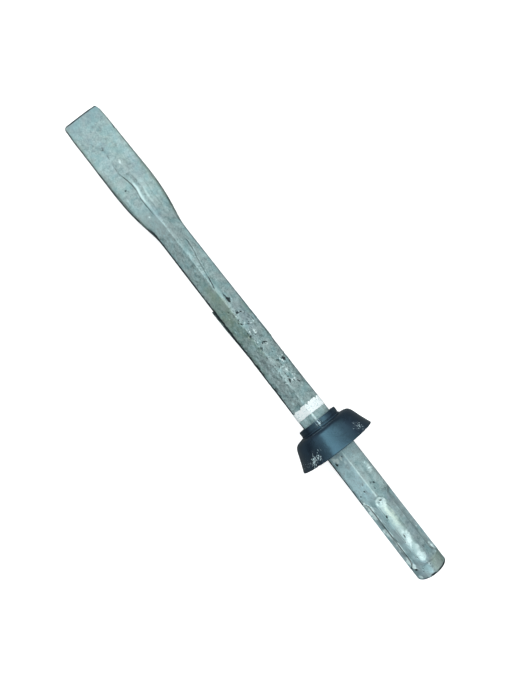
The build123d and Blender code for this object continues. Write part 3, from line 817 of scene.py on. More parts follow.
# two rings round the worn edge over before it closes
cap_rings = []
for share, back in ((0.74, 0.09), (0.40, 0.02)):
    cap = edge.copy()
    cap[:, 2] *= share
    cap[:, 1] *= 1 - 0.0012 * (1 - share)
    cap[:, 0] = x_low + (0.75 * (cap[:, 1] + 15.0) / 30.0).clip(0) + back + 0.72
    cap[:, 0] += 0.05 * fbm(cap, 1.6, 74, 3) * share + 0.03
    cap[:, 0] = np.maximum(cap[:, 0], x_low)
    cap_rings.append(base_index)
    points.append(cap)
    base_index += COLUMNS
    for key in extra:
        extra[key].append(np.full(COLUMNS, {"dark": 0.28, "rub": 0.35, "blue": 0.4}.get(key, 0.0)))
mid_points, mid_id = [], {}
for k in range(0, half + 1):
    a = (mid_plus + k) % COLUMNS
    b = mirror[a]
    m = (points[-1][a] + points[-1][b]) / 2
    m[0] = max(m[0] - 0.02, x_low)
    mid_id[a] = mid_id[b] = base_index + len(mid_points)
    mid_points.append(m)
mid_points = np.array(mid_points)
points.append(mid_points)
for key in extra:
    extra[key].append(np.full(len(mid_points), {"dark": 0.26, "rub": 0.35, "blue": 0.4}.get(key, 0.0)))
for j in range(COLUMNS):
    n = (j + 1) % COLUMNS
    first, second = cap_rings
    faces.append((n, j, first + j, first + n))
    faces.append((first + n, first + j, second + j, second + n))
    a, b = mid_id[j], mid_id[n]
    if a == b:
        faces.append((second + n, second + j, a))
    else:
        faces.append((second + n, second + j, a, b))

chisel = new_mesh("chisel_forging", np.vstack(points), faces, {k: np.concatenate(v) for k, v in extra.items()})
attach(chisel, "tool")
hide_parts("chisel")

# ------------------------------------------------------------------ marking tape
tape_lo, tape_hi = (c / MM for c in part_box("marking_tape"))
across = np.arange(COLUMNS)
i0 = int(np.argmin(np.abs(ring_x - (tape_lo.x + tape_hi.x) / 2)))
flat_ring = surface[i0]
normal_ring = normal[i0]
seg = np.linalg.norm(np.diff(np.vstack([flat_ring, flat_ring[:1]]), axis=0), axis=1)
arc = np.concatenate([[0], np.cumsum(seg)[:-1]])
perimeter = seg.sum()
loop = np.stack([np.cos(arc / perimeter * 2 * np.pi), np.sin(arc / perimeter * 2 * np.pi), arc * 0], 1) * perimeter / 2 / np.pi


def ragged(seed, size):
    tear = fbm(loop, 2.4, seed, 4, 0.75)
    nick = smooth(0.25, 0.7, noise(loop, 1.25, seed + 3)) + 0.6 * smooth(0.2, 0.7, noise(loop, 0.7, seed + 5))
    return size * (tear + 0.9 * nick)


blade_edge = tape_lo.x + 0.30 + ragged(81, 1.35) + 0.55 * smooth(-1.5, -5.0, flat_ring[:, 0]) * (flat_ring[:, 1] > 0)
cup_edge = tape_hi.x - 0.20 - ragged(91, 0.42)
blade_edge = np.maximum(blade_edge, tape_lo.x)
cup_edge = np.minimum(cup_edge, tape_hi.x)
angle_of = np.degrees(np.arctan2(flat_ring[:, 0], flat_ring[:, 1]))  # 0 at +Z, towards +Y
# the overlap sits on the lower -Y face: angles around -120 degrees
overlap = smooth(-142, -140.5, angle_of) * (1 - smooth(-103.5, -102, angle_of))
TAPE_RINGS = 34
outer, inner, wear = [], [], []
steel_at = np.stack([np.interp(ring_x, ring_x, ring_x)], 0)
for k in range(TAPE_RINGS):
    t = k / (TAPE_RINGS - 1)
    xs = blade_edge * (1 - t) + cup_edge * t
    # steel surface under each point
    pos = np.interp(xs, ring_x, np.arange(RINGS))
    lo = np.floor(pos).astype(int)
    fr = (pos - lo)[:, None]
    steel = chisel_grid[lo, across] * (1 - fr) + chisel_grid[np.minimum(lo + 1, RINGS - 1), across] * fr
    pts = np.stack([xs, steel[:, 1], steel[:, 2]], 1)
    wrinkle = 0.02 * noise(pts, (2.5, 1.3, 1.3), 95)
    lift = 0.15 + 0.13 * overlap + wrinkle
    lift = lift - 0.11 * (1 - smooth(0, 0.04, t)) * 0.8 - 0.11 * smooth(0.96, 1.0, t) * 0.8
    outer.append(pts + normal_ring * lift[:, None])
    inner.append(pts + normal_ring * 0.012)
    wear.append(smooth(0.2, 0.75, noise(pts, 1.2, 96)) * 0.6 + 0.8 * smooth(0.45, 0.8, noise(pts, (0.7, 0.7, 0.7), 97)))
tape_points = np.vstack(outer + inner[::-1])
tape_faces = grid_faces(2 * TAPE_RINGS, COLUMNS, 0, close_rings=True)
tape = new_mesh(
    "tape_ring", tape_points, tape_faces, {"wear": np.concatenate(wear + wear[::-1]), "fold": np.tile(hump(angle_of + 141, 2.0), 2 * TAPE_RINGS)}
)
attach(tape, "tool")
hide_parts("marking_tape")

# ------------------------------------------------------------------ dust cup
cup_lo, cup_hi = (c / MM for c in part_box("dust_cup"))
cup_x, cup_length, cup_rim = cup_lo.x, cup_hi.x - cup_lo.x, cup_hi.y
TURN = 560
psi = np.arange(TURN) / TURN * 2 * np.pi  # 0 at +Z, towards +Y
k_len = cup_length / 23.8
k_rim = cup_rim / 28.77


def arc_points(cx, cr, rad, a0, a1, n):
    a = np.radians(np.linspace(a0, a1, n))
    return [(cx + rad * math.cos(v), cr + rad * math.sin(v)) for v in a]


def line_points(a, b, n):
    t = np.linspace(0, 1, n, endpoint=False)
    return [(a[0] + (b[0] - a[0]) * s, a[1] + (b[1] - a[1]) * s) for s in t]


BORE = -1.0  # marks a point on the hexagonal bore
profile = []
profile += [(0.0, BORE)]
profile += line_points((0.0, 13.0), (0.0, 14.5), 6)
profile += arc_points(0.6, 14.5, 0.6, 180, 90, 7)
profile += line_points((0.75, 15.1), (3.35, 15.07), 12)
profile += [(3.46, 15.04), (3.56, 14.93), (3.64, 14.75), (3.72, 14.55), (3.84, 14.40), (4.00, 14.35), (4.16, 14.40), (4.28, 14.54)]
profile += [(4.36, 14.76), (4.44, 15.02), (4.56, 15.26), (4.72, 15.44), (4.92, 15.52), (5.12, 15.52), (5.28, 15.46), (5.38, 15.40), (5.46, 15.46), (5.52, 15.70)]
profile += line_points((5.56, 16.0), (5.84, 18.9), 12)
profile += [tuple(p) for p in refine([(5.84, 18.9), (5.97, 19.45), (6.14, 19.98), (6.40, 20.60), (6.80, 21.28), (7.34, 21.93), (8.00, 22.48), (8.78, 22.97), (9.60, 23.36), (10.45, 23.72)], 3)[:-1]]
profile += line_points((10.45, 23.72), (23.00, 28.38), 52)
profile += [(23.10, 28.42), (23.22, 28.46), (23.36, 28.48), (23.50, 28.46), (23.62, 28.38), (23.71, 28.24), (23.77, 28.06), (23.80, 27.86)]
profile += line_points((23.80, 27.66), (23.77, 26.80), 4)
profile += [(23.73, 26.64), (23.66, 26.50), (23.54, 26.38), (23.36, 26.27)]
profile += line_points((23.10, 26.16), (11.10, 21.70), 30)
profile += [(10.60, 21.45), (10.10, 21.05), (9.66, 20.45), (9.32, 19.75), (9.08, 18.9), (8.92, 18.0), (8.84, 17.1), (8.80, 16.4), (8.86, 15.9), (9.10, 15.52)]
profile += line_points((9.50, 15.38), (12.7, 15.36), 8)
profile += arc_points(12.85, 14.76, 0.6, 85, 5, 5)
profile += [(13.48, 14.3), (13.5, 13.6), (13.5, 13.0)]
outer_rows = int(np.argmax(np.array(profile)[:, 0] > 23.79))
profile += [(13.5, BORE)]
profile += [(x, BORE) for x in np.linspace(13.0, 0.5, 14)]
profile = np.array(profile)
hexagon = (11.0 + 0.115) / np.cos((psi % (np.pi / 3)) - np.pi / 6)
hexagon = np.minimum(hexagon, 12.62)

# rounder inside corner between collar and bell on the -Y side
softer = 0.5 - 0.5 * np.sin(psi)
cup_rows, cup_attr_scuff, cup_attr_dust, cup_attr_mould = [], [], [], []
for x, r in profile:
    xs = np.full(TURN, x * k_len) + cup_x
    if r == BORE:
        rs = hexagon.copy()
    else:
        grow = 1 + (k_rim - 1 + 0.011 * smooth(15, 24, x)) * smooth(15, 28, r)
        rs = np.full(TURN, r * grow)
        rs = rs + softer**2 * (0.52 * float(smooth(17.0, 20.5, r)) * float(1 - smooth(11.5, 22.5, x)) + 0.2 * (x < 5.8) * float(smooth(12.5, 14.5, r)) * (r < 15.3))
        xs = xs - (0.17 + 0.42 * softer**2) * float(smooth(15.2, 17.2, r)) * float(1 - smooth(8.0, 14.0, x))
        if 3.3 < x < 6.3 and r < 20:
            rs = rs + (0.45 + 0.35 * softer**2) * hump(x - 4.0, 0.45) * (r < 17)
            xs = xs - softer**2 * 0.70 * hump(r - 16.0, 1.3) * (x > 4.4)
    # the soft bell sags a little towards -Y
    sag = -0.52 * float(smooth(6.0, 23.8, x)) if r > 19 else 0.0
    if r > 19:
        xs = xs - (0.12 * float(smooth(19.0, 23.8, x)) + 0.33 * float(smooth(8.0, 23.8, x)) * softer**2)
    cup_rows.append(np.stack([xs, rs * np.sin(psi) + sag, rs * np.cos(psi)], 1))
cup_grid = np.array(cup_rows)
CUP_RINGS = len(profile)
gu = np.roll(cup_grid, -1, 1) - np.roll(cup_grid, 1, 1)
gv = np.roll(cup_grid, -1, 0) - np.roll(cup_grid, 1, 0)
cup_normal = np.cross(gu, gv)
cup_normal /= np.maximum(np.linalg.norm(cup_normal, axis=-1, keepdims=True), 1e-9)
if (cup_normal[60, :, 1:] * cup_grid[60, :, 1:]).sum() < 0:
    cup_normal = -cup_normal
C = cup_grid.reshape(-1, 3)
cr = np.hypot(C[:, 1], C[:, 2])
cpsi = np.degrees(np.arctan2(C[:, 1], C[:, 2]))
crel = C[:, 0] - cup_x
is_bore = np.repeat(profile[:, 1] == BORE, TURN)
outside = np.repeat(np.arange(CUP_RINGS) < outer_rows + 3, TURN)
flank = smooth(8.5, 11.0, crel) * (cr > 22)
move = 0.07 * noise(C, (14, 12, 12), 101) + 0.03 * noise(C, (4, 4, 4), 102) + 0.008 * noise(C, 1.0, 103)
# parting line of the mould, worn thin
for side in (72.0, -108.0):
    off = np.radians((cpsi - side + 180) % 360 - 180) * cr
    move += 0.10 * hump(off, 0.35) * (cr > 13.6) * (0.6 + 0.4 * noise(C, (3, 3, 3), 104))
# a few nicks in the rim
for turn, size in ((-37, 1.3), (50, 0.9), (128, 1.1), (-150, 0.8), (-96, 0.7), (12, 0.5)):
    off = np.radians((cpsi - turn + 180) % 360 - 180) * cr
    move -= 0.35 * size * hump(off, 0.7 * size) * smooth(22.6, 23.6, crel)
# cuts among the scuffs
for pts, depth in (
    ([(-36.0, 17.2), (-31.5, 22.4)], 0.20),
    ([(-44.0, 18.6), (-39.5, 22.6)], 0.14),
    ([(-27.0, 18.2), (-30.0, 21.6)], 0.12),
    ([(49.0, 15.5), (54.0, 21.5)], 0.10),
    ([(44.0, 18.5), (47.0, 22.0)], 0.10),
):
    (p0, x0), (p1, x1) = pts
    line = [(math.radians(p0) * 26, x0), (math.radians(p1) * 26, x1)]
    sd, _ = along(line, np.radians(cpsi) * 26, crel)
    move -= depth * hump(sd, 0.3) * outside * flank
move = np.where(is_bore, 0.0, move)
move *= np.where((crel < 0.3) & (cr < 14), 0.3, 1.0)
scuff_and_sheen = np.zeros(len(C))


def patch(turn, x, spread_turn, spread_x, amount, slope=0.0):
    a = np.radians((cpsi - turn + 180) % 360 - 180) * 26
    b = crel - x - slope * a
    return amount * np.exp(-((a / spread_turn) ** 2) - ((b / spread_x) ** 2))


scuff_and_sheen += patch(-40.0, 19.4, 2.2, 3.2, 0.72, 0.15)
scuff_and_sheen += patch(-30.5, 18.4, 1.5, 2.2, 0.66, -0.25)
scuff_and_sheen += patch(-34.0, 14.6, 2.0, 1.8, 0.42)
scuff_and_sheen += patch(-52.0, 20.0, 4.0, 2.4, 0.40)
scuff_and_sheen += patch(-60.0, 17.0, 6.0, 3.4, 0.30)
scuff_and_sheen += patch(46.5, 20.0, 2.8, 2.4, 0.55, 0.3)
scuff_and_sheen += patch(41.0, 17.4, 2.6, 1.8, 0.34)
scuff_and_sheen += patch(140.0, 19.0, 5.0, 3.0, 0.6)
scuff_and_sheen += patch(-150.0, 20.0, 7.0, 2.4, 0.5)
scuff_and_sheen += patch(-96.0, 20.5, 4.0, 2.0, 0.45)
scuff_and_sheen += patch(100.0, 21.0, 6.0, 1.6, 0.45)
scuff_and_sheen *= outside * (cr > 19)
# the strip between the two scuffed places stays black
black = along([(math.radians(-30.0) * 26, 14.5), (math.radians(-38.5) * 26, 22.5)], np.radians(cpsi) * 26, crel)[0]
scuff_and_sheen *= 1 - 0.95 * hump(black, 0.75)
# single scratches
scratch_rng = np.random.default_rng(61)
strokes = [(-40.0, 19.4, 2.6, 3.0, 44, 1.0), (-29.5, 18.6, 2.2, 2.4, 22, 0.95), (46.0, 19.4, 3.6, 3.0, 34, 0.80), (-54.0, 19.5, 6.0, 3.0, 22, 0.40)]
strokes += [(140.0, 19.0, 5.0, 2.6, 18, 0.7), (-150.0, 20.0, 6.0, 2.2, 16, 0.6), (100.0, 20.5, 6.0, 2.0, 12, 0.6)]
arc_mm = np.radians(cpsi) * 26
for turn, at, spread_arc, spread_x, count, power in strokes:
    for _ in range(count):
        ca = math.radians(turn) * 26 + scratch_rng.normal(0, spread_arc * 0.55)
        cx = min(at + scratch_rng.normal(0, spread_x * 0.65), 23.0)
        long, thin = scratch_rng.uniform(0.5, 1.8), scratch_rng.uniform(0.15, 0.30)
        way = math.radians(scratch_rng.normal(-35 if turn < 0 else 40, 30))
        near = np.nonzero((np.abs(arc_mm - ca) < 2.6) & (np.abs(crel - cx) < 2.6) & outside & (cr > 20))[0]
        u, v = crel[near] - cx, arc_mm[near] - ca
        a = u * math.cos(way) + v * math.sin(way)
        b = -u * math.sin(way) + v * math.cos(way)
        mark = np.exp(-((a / long) ** 4) - (b / thin) ** 2) * scratch_rng.uniform(0.5, 1.0) * power
        scuff_and_sheen[near] = np.maximum(scuff_and_sheen[near], 1.4 * mark)
        move[near] -= 0.05 * mark
# a scuffed smear along the top of the collar, widened into a painted highlight
collar_smear_and_sheen = np.exp(-(((cpsi + 2.0) / 12.0) ** 2)) * (crel < 4.2) * outside * (cr < 15.6)
scuff_and_sheen += 0.80 * collar_smear_and_sheen
scuff_and_sheen += 0.30 * hump(crel - 23.6, 0.45) * outside * smooth(0.0, 0.8, noise(C, 3.0, 111))
dust = 0.55 * hump(crel - 4.95, 0.30) * (cr < 16.0) * outside
dust += 0.35 * hump(crel - 0.0, 0.5) * outside * (cr < 15.2) * smooth(-0.2, 0.7, noise(C, 2.2, 112))
dust += 0.45 * (~outside) * smooth(-0.3, 0.8, noise(C, (5, 5, 5), 113))
C2 = C + cup_normal.reshape(-1, 3) * move[:, None]
C2[:, 0] = np.clip(C2[:, 0], cup_lo.x, cup_hi.x)
cup = new_mesh(
    "rubber_cup",
    C2,
    grid_faces(CUP_RINGS, TURN, 0, close_rings=True),
    {"scuff_and_sheen": np.clip(scuff_and_sheen, 0, 1), "dust": np.clip(dust, 0, 1)},
)
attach(cup, "cup")
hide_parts("dust_cup")

# outward faces everywhere
import bmesh

for obj in (chisel, tape, cup):
    bm = bmesh.new()
    bm.from_mesh(obj.data)
    bmesh.ops.recalc_face_normals(bm, faces=bm.faces)
    bm.to_mesh(obj.data)
    bm.free()
    obj.data.update()


# ------------------------------------------------------------------ materials
class Graph:
    """Short-hand for building a node tree."""

    def __init__(self, name):
        self.mat = bpy.data.materials.new(name)
        self.mat.use_nodes = True
        self.tree = self.mat.node_tree
        self.tree.nodes.clear()
        self.out = self.tree.nodes.new("ShaderNodeOutputMaterial")

    def node(self, kind, values=None, **props):
        n = self.tree.nodes.new(kind)
        for k, v in props.items():
            setattr(n, k, v)
        for k, v in (values or {}).items():
            self.put(n.inputs[k], v)
        return n

    def put(self, socket, v):
        if isinstance(v, bpy.types.NodeSocket):
            self.tree.links.new(v, socket)
        elif isinstance(v, (tuple, list)) and len(v) == 3 and socket.type == "RGBA":
            socket.default_value = (*v, 1.0)
        else:
            socket.default_value = v

    def attr(self, name):
        return self.node("ShaderNodeAttribute", attribute_name=name).outputs["Fac"]

    def math(self, op, a, b=0.0, c=0.0, clamp=False):
        n = self.node("ShaderNodeMath", operation=op, use_clamp=clamp)
        self.put(n.inputs[0], a)
        self.put(n.inputs[1], b)
        if op in ("MULTIPLY_ADD", "SMOOTH_MIN", "SMOOTH_MAX"):
            self.put(n.inputs[2], c)
        return n.outputs[0]

    def noise(self, vector, scale, detail=4.0, rough=0.55, distort=0.0):
        n = self.node("ShaderNodeTexNoise", {"Vector": vector, "Scale": scale, "Detail": detail, "Roughness": rough, "Distortion": distort})
        return n.outputs["Fac"]

    def ramp(self, v, a, b, lo=0.0, hi=1.0):
        n = self.node("ShaderNodeMapRange", interpolation_type="SMOOTHSTEP")
        for key, val in (("Value", v), ("From Min", a), ("From Max", b), ("To Min", lo), ("To Max", hi)):
            self.put(n.inputs[key], val)
        return n.outputs["Result"]

    def mix(self, f, a, b, blend="MIX"):
        n = self.node("ShaderNodeMix", data_type="RGBA", blend_type=blend, clamp_factor=True)
        self.put(n.inputs[0], f)
        self.put(n.inputs[6], a)
        self.put(n.inputs[7], b)
        return n.outputs[2]

    def stretched(self, vector, scale, turn=(0.0, 0.0, 0.0)):
        n = self.node("ShaderNodeMapping", {"Vector": vector, "Scale": scale, "Rotation": turn})
        return n.outputs["Vector"]

    def bump(self, height, distance, strength, normal=None):
        n = self.node("ShaderNodeBump", {"Height": height, "Distance": distance, "Strength": strength})
        if normal is not None:
            self.put(n.inputs["Normal"], normal)
        return n.outputs["Normal"]


def steel_material():
    g = Graph("forged_steel")
    co = g.node("ShaderNodeTexCoord").outputs["Object"]
    broad = g.noise(co, 55.0, 3.0, 0.5)
    mottle = g.noise(co, 300.0, 5.0, 0.62)
    speck = g.noise(co, 1150.0, 3.0, 0.6)
    grain = g.noise(co, 3800.0, 2.0, 0.5)
    drawn = g.noise(g.stretched(co, (60.0, 900.0, 900.0)), 1.0, 3.0, 0.55)
    slanted = g.noise(g.stretched(co, (180.0, 1400.0, 1400.0), (0.0, 0.0, math.radians(38))), 1.0, 2.0, 0.5)
    tone = g.attr("tone")
    t = g.math("MULTIPLY_ADD", tone, 0.55, 0.52)
    t = g.math("ADD", t, g.math("MULTIPLY_ADD", broad, 0.50, -0.25))
    t = g.math("ADD", t, g.math("MULTIPLY_ADD", mottle, 1.60, -0.80))
    t = g.math("ADD", t, g.math("MULTIPLY_ADD", drawn, 0.40, -0.20))
    t = g.math("ADD", t, g.math("MULTIPLY_ADD", slanted, 0.40, -0.20))
    t = g.math("ADD", t, g.math("MULTIPLY_ADD", speck, 1.70, -0.85), clamp=True)
    color = g.mix(t, (0.120, 0.178, 0.178), (0.432, 0.566, 0.566))
    color = g.mix(g.math("MULTIPLY", g.attr("frost"), 0.85), color, g.mix(t, (0.36, 0.53, 0.57), (0.66, 0.92, 0.96)))
    color = g.mix(g.math("MULTIPLY", g.attr("blue"), 0.50), color, (0.225, 0.345, 0.385))
    color = g.mix(g.math("MULTIPLY", g.attr("plum"), 0.50), color, (0.270, 0.345, 0.395))
    color = g.mix(g.math("MULTIPLY", g.attr("green"), 0.50), color, (0.215, 0.335, 0.255))
    color = g.mix(g.math("MULTIPLY", g.attr("warm"), 0.45), color, (0.32, 0.40, 0.30))
    # faint cloudy tints of scale
    hue = g.noise(co, 130.0, 3.0, 0.55)
    color = g.mix(g.ramp(hue, 0.50, 0.64, 0.0, 0.38), color, (0.215, 0.395, 0.415))
    color = g.mix(g.ramp(hue, 0.36, 0.49, 0.36, 0.0), color, (0.335, 0.385, 0.385))
    # rubbed metal and the painted ridge and fold highlights share this attribute
    rub = g.attr("rub")
    worn = g.ramp(g.math("MULTIPLY", rub, g.math("MULTIPLY_ADD", mottle, 0.9, 0.55)), 0.15, 0.85)
    color = g.mix(g.math("MULTIPLY", worn, 0.75), color, (0.56, 0.72, 0.71))
    # old dust caught in the grain
    film = g.ramp(g.noise(co, 700.0, 4.0, 0.65), 0.56, 0.70)
    color = g.mix(g.math("MULTIPLY", film, 0.30), color, (0.56, 0.72, 0.71))
    pale = g.attr("pale")
    flake = g.noise(co, 1350.0, 4.0, 0.7)
    pale_f = g.ramp(g.math("MULTIPLY", pale, g.math("MULTIPLY_ADD", flake, 1.5, 0.15)), 0.10, 0.95)
    color = g.mix(pale_f, color, g.mix(g.math("MULTIPLY", g.attr("green"), 1.0), (0.84, 0.99, 0.98), (0.84, 0.95, 0.72)))
    dark = g.attr("dark")
    pit = g.noise(co, 1000.0, 4.0, 0.65)
    grit = g.ramp(g.noise(co, 1100.0, 4.0, 0.6), 0.58, 0.72)
    dark_f = g.ramp(g.math("MULTIPLY", dark, g.math("MULTIPLY_ADD", pit, 1.2, 0.35)), 0.14, 0.80)
    dark_f = g.math("MAXIMUM", dark_f, g.math("MULTIPLY", grit, 0.34), clamp=True)
    color = g.mix(dark_f, color, (0.026, 0.040, 0.044))
    rust = g.ramp(g.noise(co, 240.0, 5.0, 0.7), 0.64, 0.74)
    color = g.mix(g.math("MULTIPLY", rust, 0.16), color, (0.30, 0.25, 0.19))
    rough = g.math("MULTIPLY_ADD", mottle, 0.30, 0.40)
    rough = g.math("ADD", rough, g.math("MULTIPLY", pale_f, 0.25))
    rough = g.math("SUBTRACT", rough, g.math("MULTIPLY", rub, 0.12), clamp=True)
    height = g.math("ADD", g.math("MULTIPLY", mottle, 0.7), g.math("MULTIPLY", speck, 0.45))
    height = g.math("ADD", height, g.math("MULTIPLY", slanted, 0.25))
    n1 = g.bump(height, 0.00030, 0.60)
    n2 = g.bump(grain, 0.00006, 0.5, n1)
    dull = g.math("MULTIPLY", pale_f, g.math("SUBTRACT", 0.40, g.math("MULTIPLY", g.attr("frost"), 0.38), clamp=True))
    metal = g.math("SUBTRACT", 0.42, dull, clamp=True)
    shader = g.node(
        "ShaderNodeBsdfPrincipled",
        {"Base Color": color, "Roughness": rough, "Metallic": metal, "Normal": n2, "Specular IOR Level": 0.4},
    )
    g.put(g.out.inputs["Surface"], shader.outputs["BSDF"])
    return g.mat


def rubber_material():
    g = Graph("black_rubber")
    co = g.node("ShaderNodeTexCoord").outputs["Object"]
    broad = g.noise(co, 90.0, 3.0, 0.5)
    fine = g.noise(co, 1700.0, 3.0, 0.55)
    skin = g.noise(co, 420.0, 4.0, 0.6)
    bloom = g.ramp(g.math("ADD", g.math("MULTIPLY", broad, 0.6), g.math("MULTIPLY", skin, 0.4)), 0.40, 0.62)
    color = g.mix(bloom, (0.0100, 0.0155, 0.0262), (0.0168, 0.0268, 0.0450))
    dust = g.attr("dust")
    color = g.mix(g.math("MULTIPLY", dust, 0.22), color, (0.13, 0.20, 0.24))
    scuff_and_sheen = g.attr("scuff_and_sheen")
    marks = g.noise(g.stretched(co, (420.0, 1900.0, 1900.0), (0.0, 0.0, math.radians(-35))), 1.0, 4.0, 0.65)
    fleck = g.noise(co, 1500.0, 4.0, 0.7)
    broken = g.math("ADD", g.math("MULTIPLY", marks, 0.5), g.math("MULTIPLY", fleck, 0.5))
    # the stronger the scuffing, the more of the grain shows white
    scuff_f = g.ramp(g.math("ADD", broken, g.math("MULTIPLY", scuff_and_sheen, 0.21)), 0.655, 0.735)
    scuff_f = g.math("MULTIPLY", scuff_f, g.ramp(scuff_and_sheen, 0.02, 0.30), clamp=True)
    haze = g.math("MULTIPLY", scuff_and_sheen, 0.035, clamp=True)
    scuff_f = g.math("MAXIMUM", g.math("MULTIPLY", scuff_f, 1.0), haze, clamp=True)
    color = g.mix(scuff_f, color, (0.78, 0.96, 1.0))
    rough = g.math("MULTIPLY_ADD", skin, 0.12, 0.16)
    rough = g.math("ADD", rough, g.math("MULTIPLY", scuff_f, 0.35))
    rough = g.math("ADD", rough, g.math("MULTIPLY", dust, 0.25), clamp=True)
    height = g.math("ADD", g.math("MULTIPLY", fine, 0.5), g.math("MULTIPLY", skin, 0.5))
    n1 = g.bump(height, 0.00010, 0.45)
    n2 = g.bump(scuff_f, 0.00010, 0.5, n1)
    shader = g.node(
        "ShaderNodeBsdfPrincipled",
        {"Base Color": color, "Roughness": rough, "Metallic": 0.0, "Normal": n2, "Specular IOR Level": 1.0, "Specular Tint": (0.39, 0.79, 1.0)},
    )
    g.put(g.out.inputs["Surface"], shader.outputs["BSDF"])
    return g.mat


def tape_material():
    g = Graph("white_tape")
    co = g.node("ShaderNodeTexCoord").outputs["Object"]
    broad = g.noise(co, 260.0, 4.0, 0.6)
    speck = g.ramp(g.noise(co, 950.0, 3.0, 0.65), 0.56, 0.62)
    weave = g.node("ShaderNodeTexWave", {"Vector": co, "Scale": 520.0, "Distortion": 1.2, "Detail": 2.0}).outputs["Fac"]
    color = g.mix(broad, (0.93, 1.0, 1.0), (1.0, 1.0, 1.0))
    wear = g.attr("wear")
    color = g.mix(g.math("MULTIPLY", wear, 0.12), color, (0.42, 0.64, 0.66))
    color = g.mix(g.math("MULTIPLY", speck, 0.68), color, (0.30, 0.48, 0.50))
    color = g.mix(g.math("MULTIPLY", g.attr("fold"), 0.5), color, (0.35, 0.42, 0.42))
    height = g.math("ADD", g.math("MULTIPLY", weave, 0.3), g.math("MULTIPLY", broad, 0.7))
    n1 = g.bump(height, 0.00012, 0.5)
    shader = g.node(
        "ShaderNodeBsdfPrincipled",
        {"Base Color": color, "Roughness": g.math("MULTIPLY_ADD", broad, 0.2, 0.5), "Normal": n1, "Specular IOR Level": 0.5, "Specular Tint": (0.8, 1.0, 1.0)},
    )
    g.put(g.out.inputs["Surface"], shader.outputs["BSDF"])
    return g.mat


for obj, material in ((chisel, steel_material()), (cup, rubber_material()), (tape, tape_material())):
    obj.data.materials.clear()
    obj.data.materials.append(material)

# ------------------------------------------------------------------ floor, light and camera
# The tool lies on the tip of its blade and the rim of its cup, so the floor is a little off the tool's own level.
tip_x, tip_z = x_low + 1.4, -2.86
rest_x, rest_z = cup_hi.x - 0.4, cup_lo.z
slope = math.atan2(rest_z - tip_z, rest_x - tip_x)
floor_mesh = bpy.data.meshes.new("floor")
size = 3.0
floor_mesh.from_pydata([(-size, -size, 0), (size, -size, 0), (size, size, 0), (-size, size, 0)], [], [(0, 1, 2, 3)])
floor = bpy.data.objects.new("floor", floor_mesh)
bpy.context.scene.collection.objects.link(floor)
touch = Vector(((tip_x + rest_x) / 2 * MM, 0, (tip_z + rest_z) / 2 * MM))
up = Vector((-math.sin(slope), 0, math.cos(slope)))
floor.matrix_world = Matrix.Translation(touch - up * 0.0004) @ Matrix.Rotation(-slope, 4, "Y")
g = Graph("pale_floor")
path = g.node("ShaderNodeLightPath")
geo = g.node("ShaderNodeNewGeometry")
co = g.node("ShaderNodeTexCoord").outputs["Object"]
tint = g.mix(g.noise(co, 9.0, 3.0, 0.5), (0.80, 0.80, 0.80), (0.82, 0.82, 0.815))
seen = g.node("ShaderNodeBsdfDiffuse", {"Color": tint})
glow = g.node("ShaderNodeEmission", {"Color": (1.0, 1.0, 1.0), "Strength": 0.72})
bright = g.node("ShaderNodeAddShader")
g.put(bright.inputs[0], seen.outputs[0])
g.put(bright.inputs[1], glow.outputs[0])
bounce = g.node("ShaderNodeBsdfDiffuse", {"Color": (0.17, 0.18, 0.18)})
pick = g.node("ShaderNodeMixShader", {0: path.outputs["Is Camera Ray"]})
g.put(pick.inputs[1], bounce.outputs[0])
g.put(pick.inputs[2], bright.outputs[0])
clear = g.node("ShaderNodeBsdfTransparent")
under = g.node("ShaderNodeMixShader", {0: geo.outputs["Backfacing"]})
g.put(under.inputs[1], pick.outputs[0])
g.put(under.inputs[2], clear.outputs[0])
g.put(g.out.inputs["Surface"], under.outputs[0])
floor_mesh.materials.append(g.mat)

# The studio: a pale overhead canopy that darkens towards the horizon, and one long window box
# up and towards the blade, with a crisp lower edge and a soft upper one.
world = bpy.data.worlds.new("studio")
bpy.context.scene.world = world
world.use_nodes = True
w = Graph.__new__(Graph)
w.mat, w.tree = None, world.node_tree
w.tree.nodes.clear()
w.out = w.tree.nodes.new("ShaderNodeOutputWorld")
look = w.node("ShaderNodeTexCoord").outputs["Generated"]
parts = w.node("ShaderNodeSeparateXYZ", {"Vector": look})
lx, ly, lz = parts.outputs["X"], parts.outputs["Y"], parts.outputs["Z"]
rise = w.math("ADD", w.math("MULTIPLY", lz, 0.99), w.math("ADD", w.math("MULTIPLY", ly, 0.12), w.math("MULTIPLY", lx, -0.10)))
canopy = w.ramp(rise, 0.02, 0.75, 0.07, 0.86)
canopy = w.math("MULTIPLY", canopy, w.ramp(ly, -0.85, -0.1, 0.80, 1.0))
window = w.math("MULTIPLY", w.ramp(ly, -0.34, -0.25), w.ramp(ly, -0.18, 0.62, 1.0, 0.08))
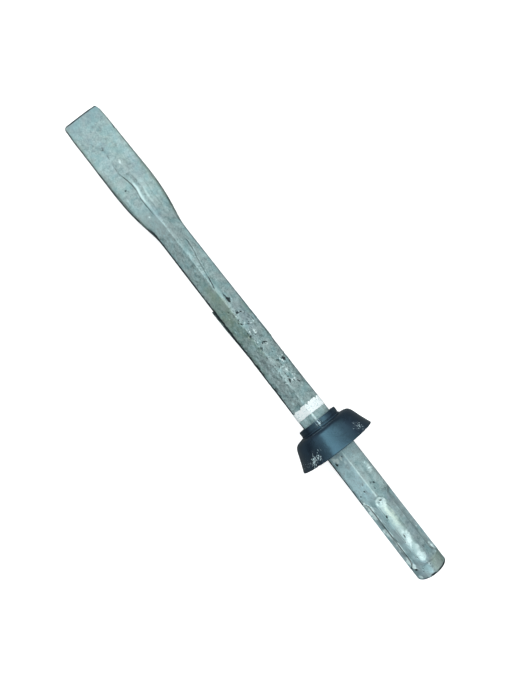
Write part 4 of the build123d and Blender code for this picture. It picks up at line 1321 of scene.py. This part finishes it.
window = w.math("MULTIPLY", window, w.math("MULTIPLY", w.ramp(lx, -0.95, -0.75), w.ramp(lx, -0.42, -0.22, 1.0, 0.0)))
window = w.math("MULTIPLY", window, w.ramp(lz, 0.15, 0.45))
strength = w.math("ADD", canopy, w.math("MULTIPLY", window, 2.5))
lit = w.node("ShaderNodeBackground", {"Color": (0.91, 0.98, 1.0), "Strength": strength})
seen = w.node("ShaderNodeBackground", {"Color": (1.0, 1.0, 1.0), "Strength": 1.05})
pick = w.node("ShaderNodeMixShader", {0: w.node("ShaderNodeLightPath").outputs["Is Camera Ray"]})
w.put(pick.inputs[1], lit.outputs[0])
w.put(pick.inputs[2], seen.outputs[0])
w.put(w.out.inputs["Surface"], pick.outputs[0])


def softbox(name, place, target, size_x, size_y, power, color=(1, 1, 1)):
    data = bpy.data.lights.new(name, "AREA")
    data.shape = "RECTANGLE"
    data.size, data.size_y = size_x, size_y
    data.energy = power
    data.color = color
    obj = bpy.data.objects.new(name, data)
    bpy.context.scene.collection.objects.link(obj)
    obj.location = place
    obj.rotation_mode = "QUATERNION"
    obj.rotation_quaternion = (Vector(target) - Vector(place)).to_track_quat("-Z", "Y")
    return obj


softbox("fill", (-0.30, 0.45, 0.85), (-0.2, 0.0, 0.0), 0.7, 0.5, 1.6, (1.0, 1.0, 0.98))

camera_data = bpy.data.cameras.new("camera")
camera = bpy.data.objects.new("camera", camera_data)
bpy.context.scene.collection.objects.link(camera)
lean = math.radians(9.03)
e1 = Vector((math.cos(lean), 0, -math.sin(lean)))
e3 = Vector((math.sin(lean), 0, math.cos(lean)))
side = Vector((0, 1, 0))
right = (e1 * 0.6139 + side * 0.7894).normalized()
up_view = (e1 * -0.7894 + side * 0.6139).normalized()
rotation = Matrix((right, up_view, e3)).transposed()
camera.matrix_world = Matrix.Translation(Vector((-0.1297, 0.0, 0.3314))) @ rotation.to_4x4()
camera_data.sensor_width = 36.0
camera_data.lens = 24.23
camera_data.clip_start = 0.01
bpy.context.scene.camera = camera
bpy.context.scene.view_settings.view_transform = "Standard"
bpy.context.scene.view_settings.look = "None"
